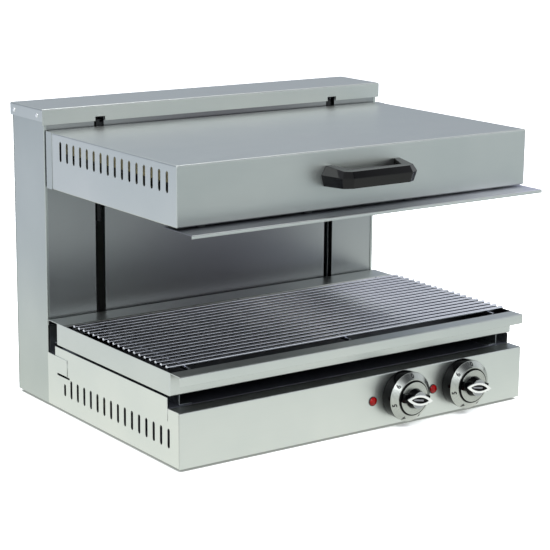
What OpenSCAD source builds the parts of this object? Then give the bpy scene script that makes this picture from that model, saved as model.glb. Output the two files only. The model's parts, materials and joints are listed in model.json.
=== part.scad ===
// Countertop cheese melter with a lifting hood.
// Z is up and the floor is z = 0. Y runs from the user towards the rear
// column. Sheet-metal pieces are drawn from the plane of the control panel's
// front face, and placed() moves that plane so that the origin lies under the
// middle of the whole machine.

/* [Body] */
// Width over the outside of the base, tray and column
body_w = 600; // [500:10:900]
// Thickness of the outer sheet metal
sheet = 1.0; // [0.8:0.1:1.5]
// Height of the rubber feet
foot_h = 4; // [3:1:12]
// Radius of a rubber foot
foot_r = 14; // [10:1:20]
// Distance of a foot's centre from the base's edges
foot_inset = 34; // [24:1:60]

/* [Base] */
// Height of the control panel
panel_h = 77; // [77:1:90]
// Depth of the low step behind the control panel's face
step_d = 29; // [26:1:40]
// Height of the base's side walls behind the step
side_h = 91.5; // [88:0.5:93]
// Distance from the control panel's face to the column's front
base_d = 357.5; // [357.5:1:420]
// Length of the notch at the rear top corner of a side wall
notch_l = 22.5; // [15:0.5:24]
// Height of the side wall inside that notch
notch_h = 78; // [77.5:0.5:86]
// Width of the relief slit under the step
slit_w = 1.2; // [0.8:0.1:2]
// Length of the relief slit under the step
slit_l = 17; // [8:1:24]
// Length of a joint plate along the side wall
joint_plate_l = 58; // [30:1:80]
// Height of a joint plate
joint_plate_h = 24; // [16:1:28]

/* [Vent slots] */
// Number of vent slots in each row
slot_count = 16; // [4:1:16]
// Spacing of the vent slots
slot_pitch = 18.75; // [10:0.25:18.75]
// Width of a vent slot
slot_w = 6; // [2:0.5:6]
// Length of a base slot
base_slot_l = 27; // [12:1:28]
// Height of a base slot's lower end above the base's underside
base_slot_z = 23; // [16:1:26]
// Distance of the first base slot from the control panel's face
base_slot_y = 26; // [18:1:26]
// Length of a hood slot
hood_slot_l = 28.5; // [12:0.5:30]
// Height of a hood slot's lower end above the hood's rim
hood_slot_z = 43; // [20:1:44]
// Distance of the first hood slot from the hood's front
hood_slot_y = 23; // [18:1:24]

/* [Column] */
// Depth of the column
column_d = 93.5; // [93.5:0.5:120]
// Height of the column above the base's underside, without its cap
column_h = 432; // [432:1:520]
// Width of the folded edges in front of the splash back
column_return = 5; // [4:0.5:9]
// Height of the cap's front skirt
cap_front_h = 23; // [20:1:25]
// Height of the cap's side and rear skirts
cap_side_h = 18; // [14:1:24]
// Gap between the cap's skirts and the column
cap_gap = 2; // [0.5:0.1:2]
// Width of the slots for the lift arms
arm_slot_w = 16; // [14:1:20]
// Distance of a lift arm's middle from the body's side
arm_inset = 91; // [88:1:110]
// Height of the arm slots' lower end above the base's underside
arm_slot_z = 112; // [100:1:140]
// Height of the notch in the cap's front skirt over each slot
cap_notch_h = 6.5; // [3:0.5:10]

/* [Hood] */
// Height of the hood's side
hood_h = 81.5; // [81.5:0.5:84]
// Distance of the hood's front behind the control panel's face
hood_y = 6; // [4:1:20]
// Gap between the hood and the column
hood_gap = 4.5; // [2:0.5:6]
// How much narrower the hood is than the body, on each side
hood_side_inset = 1; // [0.5:0.5:4]
// Distance of the hood's rim below the column's top at the top of its travel
hood_drop = 111; // [111:1:115]
// Gap between the visor and the lifted grid at the bottom of the travel
hood_low_gap = 6.8; // [4:0.2:60]
// Length of the rear band that wraps round the hood's sides
hood_band_l = 18; // [10:1:26]
// Depth of the reflector box
reflector_h = 52; // [46:1:53]
// Thickness of the insulation slab
insulation_t = 23; // [10:1:24]
// Reach of the visor in front of the control panel's face
visor_reach = 31; // [15:1:36]
// Height of the visor's turned-down front edge
visor_lip = 3.5; // [2:0.5:5]
// Drop of the visor below the hood's rim
visor_drop = 2; // [1.5:0.5:2.5]

/* [Heating elements] */
// Radius of the heating tube
tube_r = 4; // [3:0.25:4.5]
// Distance of the outermost run's middle from the reflector's side
tube_side_gap = 32; // [20:1:60]
// Height of the tube's middle above the hood's rim
tube_z = 24; // [18:1:28]

/* [Handle] */
// Width over the handle's feet
handle_w = 142; // [110:1:200]
// Distance of the handle's front from the hood's face
handle_d = 46; // [40:1:56]
// Height of the handle's feet
handle_h = 28; // [20:1:32]
// Height of the handle's middle above the hood's rim
handle_z = 46.5; // [36:0.5:56]

/* [Lift] */
// Radius of a carriage roller
roller_r = 12; // [9:1:14]
// Length of a carriage roller
roller_l = 14; // [10:1:15]
// Radius of a roller's axle
axle_r = 5; // [3:0.5:6]
// Running gap between a roller and its rail
roller_gap = 0.3; // [0.2:0.1:0.6]
// Radial clearance of the turning and sliding bores
bore_gap = 0.05; // [0.02:0.01:0.1]
// Distance of a gas spring's axis from the lift arm
spring_inset = 89; // [60:1:120]
// Outer radius of a gas spring's cylinder
spring_r = 11; // [8:0.5:12]
// Wall thickness of the cylinder
spring_wall = 1.5; // [1:0.25:3]
// Radius of a gas spring's rod
spring_rod_r = 4; // [3:0.5:5]

/* [Tray] */
// Height of the tray's underside above the base's underside
tray_z = 94; // [94:0.5:96]
// Depth of the tray
tray_h = 33; // [30:1:34]
// Distance of the tray's front wall behind the control panel's face
tray_y = 23; // [20:1:27]
// Length of the tray's trough
trough_l = 307; // [307:1:315]
// Reach of the tray's front flange
lip_d = 25; // [18:1:28]
// Height of the tray's front lip
lip_h = 14; // [8:1:18]
// Reach of the tray's rear flange towards the column
rear_flange_d = 24; // [15:1:24]
// Reach of the same flange over the trough
rear_rim_d = 21; // [16:1:21]
// Height of the rear flange's hem
rear_hem_h = 8; // [5:1:12]
// Travel of the tray
tray_travel = 220; // [100:10:240]

/* [Grid] */
// Diameter of a grid rod
rod_d = 5; // [4:0.5:7]
// Number of grid rods
rod_count = 19; // [8:1:19]
// Distance of the last rod from the rear flange
rod_rear_gap = 23; // [18:0.5:30]
// Distance of the first rod behind the tray's front wall
rod_y = 15.5; // [12:0.5:20]
// Gap between a rod's end and the tray's wall
rod_end_gap = 4; // [3:0.5:12]
// Distance of the outer cross wires from the rods' ends
cross_inset = 28; // [18:1:120]

/* [Controls] */
// Distance of the last knob from the body's right side
knob_inset = 117; // [100:1:150]
// Distance between the knobs
knob_pitch = 110; // [90:1:120]
// Height of the knobs' axes above the base's underside
knob_z = 42.5; // [38:0.5:46]
// Radius of a knob's dial
knob_r = 35.8; // [26:0.2:36]
// Reach of a knob's skirt in front of the control panel
knob_skirt_d = 26; // [14:1:28]
// Rise of a knob's inner disc in front of its dial
disc_rise = 2.5; // [1:0.5:6]
// Reach of a knob's grip in front of its dial
knob_grip_d = 15; // [12:1:28]
// Gap between a knob and the control panel
knob_gap = 1; // [0.5:0.1:2]
// Angle of a knob's grip from level, clockwise to the user
grip_turn = 11; // [0:1:20]
// Radius of a regulator's spindle
spindle_r = 3; // [2:0.5:4]
// Distance of a pilot lamp from its knob
lamp_offset = 52; // [46:1:54]
// Height of the pilot lamps above the base's underside
lamp_z = 39.5; // [30:0.5:50]
// Radius of a pilot lamp's lens
lamp_r = 6; // [4:0.5:8]

/* [Hidden] */
$fn = 48;

steel = "#B9BDBA";
dark_steel = "#6F7473";
bright_steel = "#D4D8D8";
black = "#161618";
eps = 0.01;
big = 2000;

// Places of the main planes, from the control panel's face and the floor
half_w = body_w / 2;
base_z = foot_h;
panel_top = base_z + panel_h;
column_y = base_d;
column_back = base_d + column_d;
column_top = base_z + column_h;
splash_y = column_y + sheet;
rim_z = column_top - hood_drop;
hood_half = half_w - hood_side_inset;
hood_rear = column_y - hood_gap;
hood_top = rim_z + hood_h;
tray_bottom = base_z + tray_z;
tray_top = tray_bottom + tray_h;
trough_rear = tray_y + trough_l;
knob_axis_z = base_z + knob_z;
lamp_axis_z = base_z + lamp_z;
knob_x = half_w - knob_inset - knob_pitch;
arm_x = half_w - arm_inset;
spring_x = arm_x - spring_inset;

// Lift gear inside the column
carriage_t = 6;
arm_face = arm_x - carriage_t / 2;
arm_low = rim_z + 12;
arm_h = 56;
carriage_y = splash_y + sheet + 2.5;
carriage_low = rim_z - 60;
carriage_h = 150;
plate_past_axis = 20;
rail_t = 2;
rail_y = column_y + 37.5;
rail_half = roller_r + roller_gap;
rail_inner_x = arm_x + 16;
rail_l = roller_l + 8;
roller_x = rail_inner_x + 2;
roller_upper_z = rim_z + 72;
roller_lower_z = rim_z - 42;
bracket_z = base_z + column_h - 6;
bracket_t = 3;
bracket_ear_h = 18;
beam_d = 12;
beam_h = 22;
beam_low = rim_z + 64;
anchor_w = 26;
anchor_t = 5;
flange_w = 44;
flange_t = 3;
bolt_r = 3;
bolt_half_pitch = 15;
bolt_edge = 10;

// Reflector box and heating elements
visor_t = 1.2;
reflector_gap = 28;
reflector_half = hood_half - reflector_gap;
reflector_flange = 20;
reflector_front = hood_y + 36;
reflector_rear = hood_rear - 24;
reflector_t = 0.8;
reflector_top = rim_z + reflector_h;
tube_first_x = 41;
tube_pitch = (reflector_half - tube_side_gap - tube_first_x) / 3;
tube_front = reflector_front + tube_pitch / 2 + tube_r + 10;
tube_rear = reflector_rear - tube_pitch / 2 - tube_r - 8;
tube_axis_z = rim_z + tube_z;

// Grid and tray supports
ledge_d = 10;
ledge_t = 1.2;
seat_gap = 0.3;
weld_sink = 0.3;
ledge_h = 12;
ledge_top = tray_top - 4.5;
grid_bay_l = trough_l - rear_rim_d - sheet;
cross_z = ledge_top + seat_gap + rod_d / 2;
rod_z = cross_z + rod_d - weld_sink;
rod_pitch = (grid_bay_l + sheet - rod_y - rod_rear_gap) / (rod_count - 1);
rod_half_l = half_w - sheet - rod_end_gap;
cross_x = rod_half_l - cross_inset;
grid_lift = 15;
runner_t = 1.2;
runner_end_gap = 12;
runner_x = half_w - 20;
pilot_neck_r = 4.5;
cable_bore_r = 5;

// Travel of the hood, down to the grid at the top of its lift
hood_travel = rim_z - visor_drop - visor_t - visor_lip - hood_low_gap
    - (rod_z + rod_d / 2 + grid_lift);

// Gas springs, from the base's bottom sheet upwards
spring_end_t = 6;
piston_h = 8;
piston_play = 2;
spring_low = base_z + sheet;
spring_bore_l = hood_travel + piston_h + 2 * piston_play;
spring_bore_r = spring_r - spring_wall;
spring_bore_z = spring_low + spring_end_t;
spring_l = spring_bore_l + 2 * spring_end_t;
piston_z = spring_bore_z + piston_play + hood_travel;
spring_stud_r = 3;

// Reach of the whole machine to the front and to the rear
knob_front = knob_gap + knob_skirt_d + knob_grip_d;
gland_reach = 14;
machine_front = -max(knob_front, handle_d - hood_y, visor_reach);
machine_back = column_back + sheet + gland_reach;
middle_y = (machine_front + machine_back) / 2;

module placed() {
    translate([0, -middle_y, 0]) children();
}

module left_and_right() {
    children();
    mirror([1, 0, 0]) children();
}

// Block between two opposite corners
module block(low, high) {
    translate(low) cube(high - low);
}

// Sheet of thickness t lying in the YZ plane from x, drawn as [y, z]
module side_sheet(x, t) {
    translate([x, 0, 0]) rotate([90, 0, 90]) linear_extrude(t) children();
}

// Cylinder along +Y from y
module rod_y(x, y, z, r, l) {
    translate([x, y, z]) rotate([-90, 0, 0]) cylinder(r = r, h = l);
}

// Cylinder along +X from x
module rod_x(x, y, z, r, l) {
    translate([x, y, z]) rotate([0, 90, 0]) cylinder(r = r, h = l);
}

// Round-ended slot of width w between two points, as a flat shape
module slot_shape(a, b, w) {
    angle = atan2(b[1] - a[1], b[0] - a[0]);
    translate(a) rotate(angle) translate([0, -w / 2]) square([norm(b - a), w]);
    translate(a) circle(r = w / 2);
    translate(b) circle(r = w / 2);
}

// Row of upright slots, of which the last can be shorter
module upright_slots(first_y, low_z, length, last_length) {
    for (i = [0 : slot_count - 1])
        translate([first_y + i * slot_pitch, low_z])
            slot_shape([0, slot_w / 2],
                       [0, (i == slot_count - 1 ? last_length : length) - slot_w / 2], slot_w);
}

/* ---- Base ---- */

rear_fold_h = 18;
rear_fold_w = 16;
cover_hole_r = 2;
cover_screw_xs = [-0.86, -0.29, 0.29, 0.86];
cover_screw_zs = [base_z + 10, column_top - 8 - cap_side_h];
lance_y = base_d - 29;
lance_l = 34;
lance_w = 3.2;
lance_z = base_z + 51.5;
short_slot_l = 18;
front_fold_d = 14;
step_fold_h = 10;
cover_fold_h = 12;
runner_foot = 20;
runner_seat = 14;

// Outline of a base side wall, as [y, z]
module base_side_outline() {
    side_top = base_z + side_h;
    notch_y = base_d - notch_l;
    notch_z = base_z + notch_h;
    difference() {
        polygon([
            [sheet, base_z], [sheet, panel_top], [step_d, panel_top],
            [step_d, side_top], [notch_y, side_top], [notch_y, notch_z],
            [base_d, notch_z], [base_d, base_z]
        ]);
        upright_slots(base_slot_y, base_z + base_slot_z, base_slot_l, short_slot_l);
        translate([step_d - slit_w, panel_top - slit_l]) square([slit_w, slit_l + eps]);
        slot_shape([lance_y, lance_z], [lance_y - lance_l, lance_z], lance_w);
    }
}

module base_shell() color(steel) placed() {
    rear = column_back - sheet;
    left_and_right() side_sheet(half_w - sheet, sheet) base_side_outline();
    block([-half_w, sheet, base_z], [half_w, base_d, base_z + sheet]);
    block([-half_w + sheet, base_d - eps, base_z], [half_w - sheet, rear, base_z + sheet]);
    difference() {
        block([-half_w + 20, rear - sheet, base_z], [half_w - 20, rear, base_z + rear_fold_h]);
        for (x = cover_screw_xs)
            rod_y(x * half_w, rear - 2 * sheet, cover_screw_zs[0], cover_hole_r, 3 * sheet);
    }
}

module control_holes(extra_r) {
    for (i = [0, 1]) {
        rod_y(knob_x + i * knob_pitch, -1, knob_axis_z, spindle_r + 1, sheet + 2);
        rod_y(knob_x + i * knob_pitch - lamp_offset, -1, lamp_axis_z,
              pilot_neck_r + extra_r, sheet + 2);
    }
}

module control_panel() color(steel) placed() {
    inner = half_w - sheet;
    difference() {
        union() {
            block([-half_w, 0, base_z], [half_w, sheet, panel_top]);
            block([-inner, 0, panel_top - sheet], [inner, step_d, panel_top]);
            block([-inner, step_d - sheet, panel_top - step_fold_h], [inner, step_d, panel_top]);
            block([-inner, 0, base_z + sheet], [inner, front_fold_d, base_z + 2 * sheet]);
        }
        control_holes(0.05);
    }
}

module base_cover() color(dark_steel) placed() {
    inner = half_w - sheet;
    between = half_w - column_return;
    block([-inner, step_d, panel_top - sheet], [inner, column_y, panel_top]);
    block([-between, column_y - eps, panel_top - sheet], [between, splash_y, panel_top]);
    left_and_right()
        block([inner - sheet, step_d, panel_top - cover_fold_h],
              [inner, column_y, panel_top]);
}

module joint_plates() color(steel) placed() {
    top = base_z + notch_h - 0.2;
    left_and_right()
        block([half_w, base_d - joint_plate_l, top - joint_plate_h],
              [half_w + 0.8, base_d - 4, top]);
}

module rubber_feet() color(black) placed() {
    for (y = [foot_inset, column_back - foot_inset])
        left_and_right() translate([half_w - foot_inset, y, 0]) {
            cylinder(r1 = foot_r - 1, r2 = foot_r, h = foot_h);
        }
}

// Z-shaped runner that carries the tray, as [x, z]
module runner_outline() {
    low = panel_top;
    high = tray_bottom;
    translate([runner_x - runner_foot, low]) square([runner_foot, runner_t]);
    translate([runner_x - runner_t, low]) square([runner_t, high - low]);
    translate([runner_x - runner_t, high - runner_t]) square([runner_seat, runner_t]);
}

module tray_runner() {
    translate([0, step_d + 3, 0]) rotate([90, 0, 0]) mirror([0, 0, 1])
        linear_extrude(base_d - step_d - runner_end_gap) runner_outline();
}

module tray_runner_left() color(dark_steel) placed() mirror([1, 0, 0]) tray_runner();
module tray_runner_right() color(dark_steel) placed() tray_runner();

/* ---- Column ---- */

rivet_r = 1.6;
rivet_z = base_z + column_h - 9;
rivet_ys = [column_y + 13, column_back - 11];

module rivet_holes() {
    for (y = rivet_ys) rod_x(half_w - 5, y, rivet_z, rivet_r, 10);
}

module column_side() {
    rear = column_back - sheet;
    difference() {
        union() {
            block([half_w - sheet, column_y, base_z], [half_w, rear, column_top]);
            block([half_w - column_return, column_y, base_z + sheet],
                  [half_w, column_y + sheet, column_top]);
            block([half_w - rear_fold_w, rear - sheet, base_z + sheet],
                  [half_w, rear, column_top]);
        }
        rivet_holes();
    }
}

module column_side_left() color(steel) placed() mirror([1, 0, 0]) column_side();
module column_side_right() color(steel) placed() column_side();

cap_out = cap_gap + sheet;
slot_top = column_top + sheet - cap_front_h + cap_notch_h;

module arm_slots(y, l, low, high) {
    left_and_right()
        block([arm_x - arm_slot_w / 2, y, low], [arm_x + arm_slot_w / 2, y + l, high]);
}

splash_overlap = 20;
splash_fold_d = 12;

module splash_back() color("#8A8E8D") placed() {
    inner = half_w - sheet;
    difference() {
        union() {
            block([-inner, splash_y, panel_top - splash_overlap],
                  [inner, splash_y + sheet, column_top]);
            block([-inner, splash_y, column_top - sheet],
                  [inner, splash_y + splash_fold_d, column_top]);
        }
        arm_slots(splash_y - 1, sheet + 2, base_z + arm_slot_z, slot_top);
    }
}

gland_x = -0.7 * half_w;
gland_z = base_z + 46;
gland_r = 10;

cover_vent_low = 60;
cover_vent_high = 60;
cover_vent_gap = 16;
cover_vent_l = 22;
cover_vent_pitch = half_w / 8.8;

// Row of vents in the rear cover
module cover_vents(z) {
    for (i = [-5 : 5])
        translate([i * cover_vent_pitch, column_back - sheet - 1, z]) rotate([-90, 0, 0])
            linear_extrude(sheet + 2)
                slot_shape([-cover_vent_l / 2, 0], [cover_vent_l / 2, 0], 4);
}

module rear_cover() color(steel) placed() {
    rear = column_back - sheet;
    difference() {
        block([-half_w, rear, base_z], [half_w, column_back, column_top]);
        for (i = [0 : 2]) {
            cover_vents(base_z + cover_vent_low + i * cover_vent_gap);
            cover_vents(column_top - cover_vent_high - i * cover_vent_gap);
        }
        rod_y(gland_x, rear - 1, gland_z, gland_r, sheet + 2);
        for (x = cover_screw_xs, z = cover_screw_zs)
            rod_y(x * half_w, rear - 1, z, cover_hole_r, sheet + 2);
    }
}

module rear_cover_screws() color(bright_steel) placed() {
    for (x = cover_screw_xs, z = cover_screw_zs) {
        rod_y(x * half_w, column_back, z, 3.6, 2);
        rod_y(x * half_w, column_back - sheet - 0.5, z, cover_hole_r - 0.05, sheet + 1);
    }
}

module top_cap() color(steel) placed() {
    half = half_w + cap_out;
    front = column_y - cap_out;
    rear = column_back + cap_out;
    top = column_top + sheet;
    difference() {
        block([-half, front, top - cap_front_h], [half, rear, top]);
        block([-half + sheet, front + sheet, -big], [half - sheet, rear - sheet, column_top]);
        block([-big, front + sheet, -big], [big, big, top - cap_side_h]);
        arm_slots(front - 1, sheet + 2, base_z, slot_top);
        left_and_right() rivet_holes();
    }
}

module cap_rivets() color(bright_steel) placed() {
    left_and_right() for (y = rivet_ys) {
        rod_x(half_w - sheet - 1, y, rivet_z, rivet_r - 0.05, sheet + cap_out + 1.5);
        rod_x(half_w + cap_out, y, rivet_z, 3, 1.2);
    }
}

/* ---- Lift gear in the column ---- */

// Channel that guides the rollers, as [x, y]
module rail_outline() {
    outer_x = rail_inner_x + rail_l;
    difference() {
        translate([rail_inner_x, rail_y - rail_half - rail_t])
            square([rail_l, 2 * (rail_half + rail_t)]);
        translate([rail_inner_x - 1, rail_y - rail_half])
            square([rail_l + 1 - rail_t, 2 * rail_half]);
    }
}

module guide_rail() {
    low = base_z + sheet;
    translate([0, 0, low]) linear_extrude(bracket_z - low) rail_outline();
}

module guide_rail_left() color(dark_steel) placed() mirror([1, 0, 0]) guide_rail();
module guide_rail_right() color(dark_steel) placed() guide_rail();

// Plate that ties the rails to each other and to the column's sides
module rail_bracket() color(dark_steel) placed() {
    half = half_w - sheet;
    depth = rail_half + rail_t;
    block([-half, rail_y - depth, bracket_z], [half, rail_y + depth, bracket_z + bracket_t]);
    left_and_right()
        block([half - sheet, rail_y - depth, bracket_z - bracket_ear_h],
              [half, rail_y + depth, bracket_z]);
}

module spring_cylinder() {
    rod_hole_r = spring_rod_r + bore_gap;
    translate([spring_x, rail_y, spring_low]) rotate_extrude() polygon([
        [0, 0], [spring_r, 0], [spring_r, spring_l], [rod_hole_r, spring_l],
        [rod_hole_r, spring_l - spring_end_t], [spring_bore_r, spring_l - spring_end_t],
        [spring_bore_r, spring_end_t], [0, spring_end_t]
    ]);
}

module spring_cylinder_left() color("#2B2D30") placed() mirror([1, 0, 0]) spring_cylinder();
module spring_cylinder_right() color("#2B2D30") placed() spring_cylinder();

// Rod with its piston below and its stud and nut above
module spring_rod() {
    nut_r = spring_stud_r + 3;
    translate([spring_x, rail_y, 0]) {
        translate([0, 0, piston_z]) cylinder(r = spring_bore_r - bore_gap, h = piston_h);
        translate([0, 0, piston_z]) cylinder(r = spring_rod_r, h = beam_low - piston_z);
        translate([0, 0, beam_low - eps]) cylinder(r = spring_stud_r, h = anchor_t + 6);
        translate([0, 0, beam_low + anchor_t]) cylinder(r = nut_r, h = 5, $fn = 6);
    }
}

module spring_rod_left() color(bright_steel) placed() mirror([1, 0, 0]) spring_rod();
module spring_rod_right() color(bright_steel) placed() spring_rod();

// One arm with its roller plate, its flange inside the hood and its axles
module carriage_half() {
    collar_r = axle_r + 3;
    axle_end = roller_x + roller_l + 2;
    difference() {
        union() {
            block([arm_face, hood_rear - sheet - flange_t, arm_low],
                  [arm_face + carriage_t, carriage_y + eps, arm_low + arm_h]);
            block([arm_face, carriage_y, carriage_low],
                  [arm_face + carriage_t, rail_y + plate_past_axis,
                   carriage_low + carriage_h]);
            block([arm_x - flange_w / 2, hood_rear - sheet - flange_t, arm_low],
                  [arm_x + flange_w / 2, hood_rear - sheet, arm_low + arm_h]);
            for (z = [roller_upper_z, roller_lower_z]) {
                rod_x(arm_x, rail_y, z, axle_r, axle_end - arm_x);
                rod_x(arm_x, rail_y, z, collar_r, roller_x - 0.3 - arm_x);
                rod_x(roller_x + roller_l + 0.3, rail_y, z, axle_r + 2, 1.7);
            }
        }
        bolt_holes();
    }
}

module bolt_holes() {
    for (x = [-1, 1], z = [bolt_edge, arm_h - bolt_edge])
        rod_y(arm_x + x * bolt_half_pitch, hood_rear - sheet - 2 * flange_t, arm_low + z,
              bolt_r + bore_gap, 2 * sheet + 3 * flange_t);
}

module lift_carriage() color(dark_steel) placed() {
    left_and_right() carriage_half();
    block([-arm_x, carriage_y, beam_low], [arm_x, carriage_y + beam_d, beam_low + beam_h]);
    left_and_right() difference() {
        block([spring_x - anchor_w / 2, carriage_y + beam_d - eps, beam_low],
              [spring_x + anchor_w / 2, rail_y + anchor_w / 2, beam_low + anchor_t]);
        translate([spring_x, rail_y, beam_low - 1])
            cylinder(r = spring_stud_r + bore_gap, h = anchor_t + 2);
    }
}

module carriage_bolts() color(bright_steel) placed() {
    inside = hood_rear - sheet - flange_t;
    left_and_right() for (x = [-1, 1], z = [bolt_edge, arm_h - bolt_edge]) {
        rod_y(arm_x + x * bolt_half_pitch, inside - 5, arm_low + z, bolt_r + 2, 5);
        rod_y(arm_x + x * bolt_half_pitch, inside - 1, arm_low + z, bolt_r,
              flange_t + sheet + 1);
    }
}

module roller(z) {
    difference() {
        rod_x(roller_x, rail_y, z, roller_r, roller_l);
        rod_x(roller_x - 1, rail_y, z, axle_r + bore_gap, roller_l + 2);
    }
}

module roller_upper_left() color("#E6E3D8") placed() mirror([1, 0, 0]) roller(roller_upper_z);
module roller_upper_right() color("#E6E3D8") placed() roller(roller_upper_z);
module roller_lower_left() color("#E6E3D8") placed() mirror([1, 0, 0]) roller(roller_lower_z);
module roller_lower_right() color("#E6E3D8") placed() roller(roller_lower_z);

/* ---- Hood ---- */

flange_in = 14;
front_flange_in = 30;
band_t = 0.5;

module hood_shell() color(steel) placed() {
    rear = hood_rear - sheet;
    difference() {
        block([-hood_half, hood_y, rim_z], [hood_half, rear, hood_top]);
        block([-hood_half + sheet, hood_y + sheet, rim_z + sheet],
              [hood_half - sheet, big, hood_top - sheet]);
        block([-hood_half + flange_in, hood_y + front_flange_in, rim_z - 1],
              [hood_half - flange_in, big, rim_z + 2 * sheet]);
        side_sheet(-big, 2 * big)
            upright_slots(hood_y + hood_slot_y, rim_z + hood_slot_z, hood_slot_l, hood_slot_l);
        handle_screw_holes(2.6);
        visor_screw_holes();
    }
}

module hood_rear_panel() color(steel) placed() {
    rear = hood_rear;
    outer = hood_half + band_t;
    difference() {
        union() {
            block([-outer, rear - sheet, rim_z], [outer, rear, hood_top]);
            left_and_right()
                block([hood_half, rear - hood_band_l, rim_z], [outer, rear, hood_top]);
            block([-hood_half + flange_in, reflector_rear - 2, rim_z],
                  [hood_half - flange_in, rear, rim_z + sheet]);
        }
        left_and_right() {
            block([arm_face - 0.5, rear - sheet - 1, arm_low - 0.5],
                  [arm_face + carriage_t + 0.5, rear + 1, arm_low + arm_h + 0.5]);
            bolt_holes();
        }
    }
}

module terminal_holes(r) {
    for (i = [0, 3])
        left_and_right()
            rod_y(tube_first_x + i * tube_pitch, reflector_rear - 5, tube_axis_z, r, 10);
}

module reflector() color("#C9CCCB") placed() {
    flange = reflector_flange;
    difference() {
        union() {
            block([-reflector_half, reflector_front, rim_z + sheet],
                  [reflector_half, reflector_rear, reflector_top]);
            block([-reflector_half - flange, reflector_front - 14, rim_z + sheet],
                  [reflector_half + flange, reflector_rear, rim_z + sheet + reflector_t]);
        }
        block([-reflector_half + reflector_t, reflector_front + reflector_t, rim_z - 1],
              [reflector_half - reflector_t, reflector_rear - reflector_t,
               reflector_top - reflector_t]);
        terminal_holes(tube_r + 0.3);
    }
}

module insulation_slab() color("#CDBE8A") placed() {
    block([-hood_half + 14, hood_y + 12, reflector_top],
          [hood_half - 14, reflector_rear + 4, reflector_top + insulation_t]);
}

// Heating tube with four runs and its ends through the reflector's rear wall
module element() {
    bend_r = tube_pitch / 2;
    run = tube_rear - tube_front;
    translate([tube_first_x, 0, tube_axis_z]) {
        for (i = [0 : 3])
            rod_y(i * tube_pitch, tube_front, 0, tube_r, run);
        for (i = [0, 3])
            rod_y(i * tube_pitch, tube_rear - eps, 0, tube_r, reflector_rear + 12 - tube_rear);
        for (i = [0, 2]) translate([(i + 0.5) * tube_pitch, tube_front, 0])
            rotate([0, 0, 180]) rotate_extrude(angle = 180)
                translate([bend_r, 0]) circle(r = tube_r);
        translate([1.5 * tube_pitch, tube_rear, 0])
            rotate_extrude(angle = 180) translate([bend_r, 0]) circle(r = tube_r);
    }
}

module element_left() color("#6B5B53") placed() mirror([1, 0, 0]) element();
module element_right() color("#6B5B53") placed() element();

comb_margin = 12;
comb_inset = 30;

// Combs that hang from the reflector and hold the tubes
module element_brackets() color(bright_steel) placed() {
    top = reflector_top - reflector_t;
    low = tube_axis_z - tube_r - 3;
    x0 = tube_first_x - comb_margin;
    x1 = tube_first_x + 3 * tube_pitch + comb_margin;
    left_and_right() for (y = [tube_front + comb_inset, tube_rear - comb_inset]) difference() {
        union() {
            block([x0, y, low], [x1, y + 1.5, top]);
            block([x0, y, top - 1.5], [x1, y + 12, top]);
        }
        for (i = [0 : 3]) translate([tube_first_x + i * tube_pitch, y - 1, tube_axis_z])
            block([-tube_r - seat_gap, 0, -tube_r], [tube_r + seat_gap, 4, tube_r + seat_gap]);
    }
}

visor_top = rim_z - visor_drop;
visor_rear = hood_y + front_flange_in;
visor_screw_y = hood_y + 10;
visor_screw_xs = [-0.86, -0.29, 0.29, 0.86];

module visor_screw_holes() {
    for (x = visor_screw_xs)
        translate([x * hood_half, visor_screw_y, rim_z - 5]) cylinder(r = 2.1, h = 12);
}

// Flat visor with a turned-down front edge and raised seats for its screws
module visor() color(steel) placed() {
    low = visor_top - visor_t;
    difference() {
        union() {
            block([-half_w, -visor_reach, low], [half_w, visor_rear, visor_top]);
            block([-half_w, -visor_reach, low - visor_lip],
                  [half_w, -visor_reach + visor_t, visor_top]);
            for (x = visor_screw_xs) translate([x * hood_half, visor_screw_y, low])
                cylinder(r = 7, h = rim_z - low);
        }
        visor_screw_holes();
    }
}

module visor_screws() color(bright_steel) placed() {
    low = visor_top - visor_t;
    for (x = visor_screw_xs) translate([x * hood_half, visor_screw_y, 0]) {
        translate([0, 0, low - 2.2]) cylinder(r = 3.8, h = 2.2);
        translate([0, 0, low - 1]) cylinder(r = 2, h = rim_z - low + sheet + 3);
    }
}

foot_w = 17.5;
grip_d = 17;
handle_axis_z = rim_z + handle_z;
handle_half = handle_w / 2;
ridge_z = 1.5;
facet_above = 31;
facet_below = 15.6;
// Corners of the handle's outer line, from its foot to its grip
handle_line = [[handle_half, 0], [handle_half - 7, -handle_d + 8],
               [handle_half - 21, -handle_d], [-handle_half + 21, -handle_d]];

module handle_screw_holes(r) {
    left_and_right()
        rod_y(handle_half - foot_w / 2, hood_y - 12, handle_axis_z, r, 12 + sheet + 1);
}

// Top view of the bow handle, from its mounting face towards the user
module handle_plan() {
    inner_x = handle_half - foot_w - 10.5;
    polygon([
        handle_line[0], handle_line[1], handle_line[2], handle_line[3],
        [-handle_line[1][0], handle_line[1][1]], [-handle_half, 0],
        [-handle_half + foot_w, 0], [-inner_x, -handle_d + grip_d],
        [inner_x, -handle_d + grip_d], [handle_half - foot_w, 0]
    ]);
}

// Side view of the handle, as [y, z] from its mounting face and its middle
module handle_side() {
    half = handle_h / 2;
    polygon([
        [0, half], [-handle_d + 12, half - 3.5], [-handle_d - 1, half - 4],
        [-handle_d - 1, -half + 1.5], [0, -half]
    ]);
}

// Space outside the two facets that meet in a ridge along one stretch of the outer line
module facet_space(a, b) {
    reach = 2 * handle_w;
    translate([a[0], a[1], ridge_z]) rotate(atan2(b[1] - a[1], b[0] - a[0])) {
        rotate([-facet_above, 0, 0]) block([-reach, -reach, 0], [reach, 0, reach]);
        rotate([facet_below, 0, 0]) block([-reach, -reach, -reach], [reach, 0, 0]);
    }
}

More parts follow.
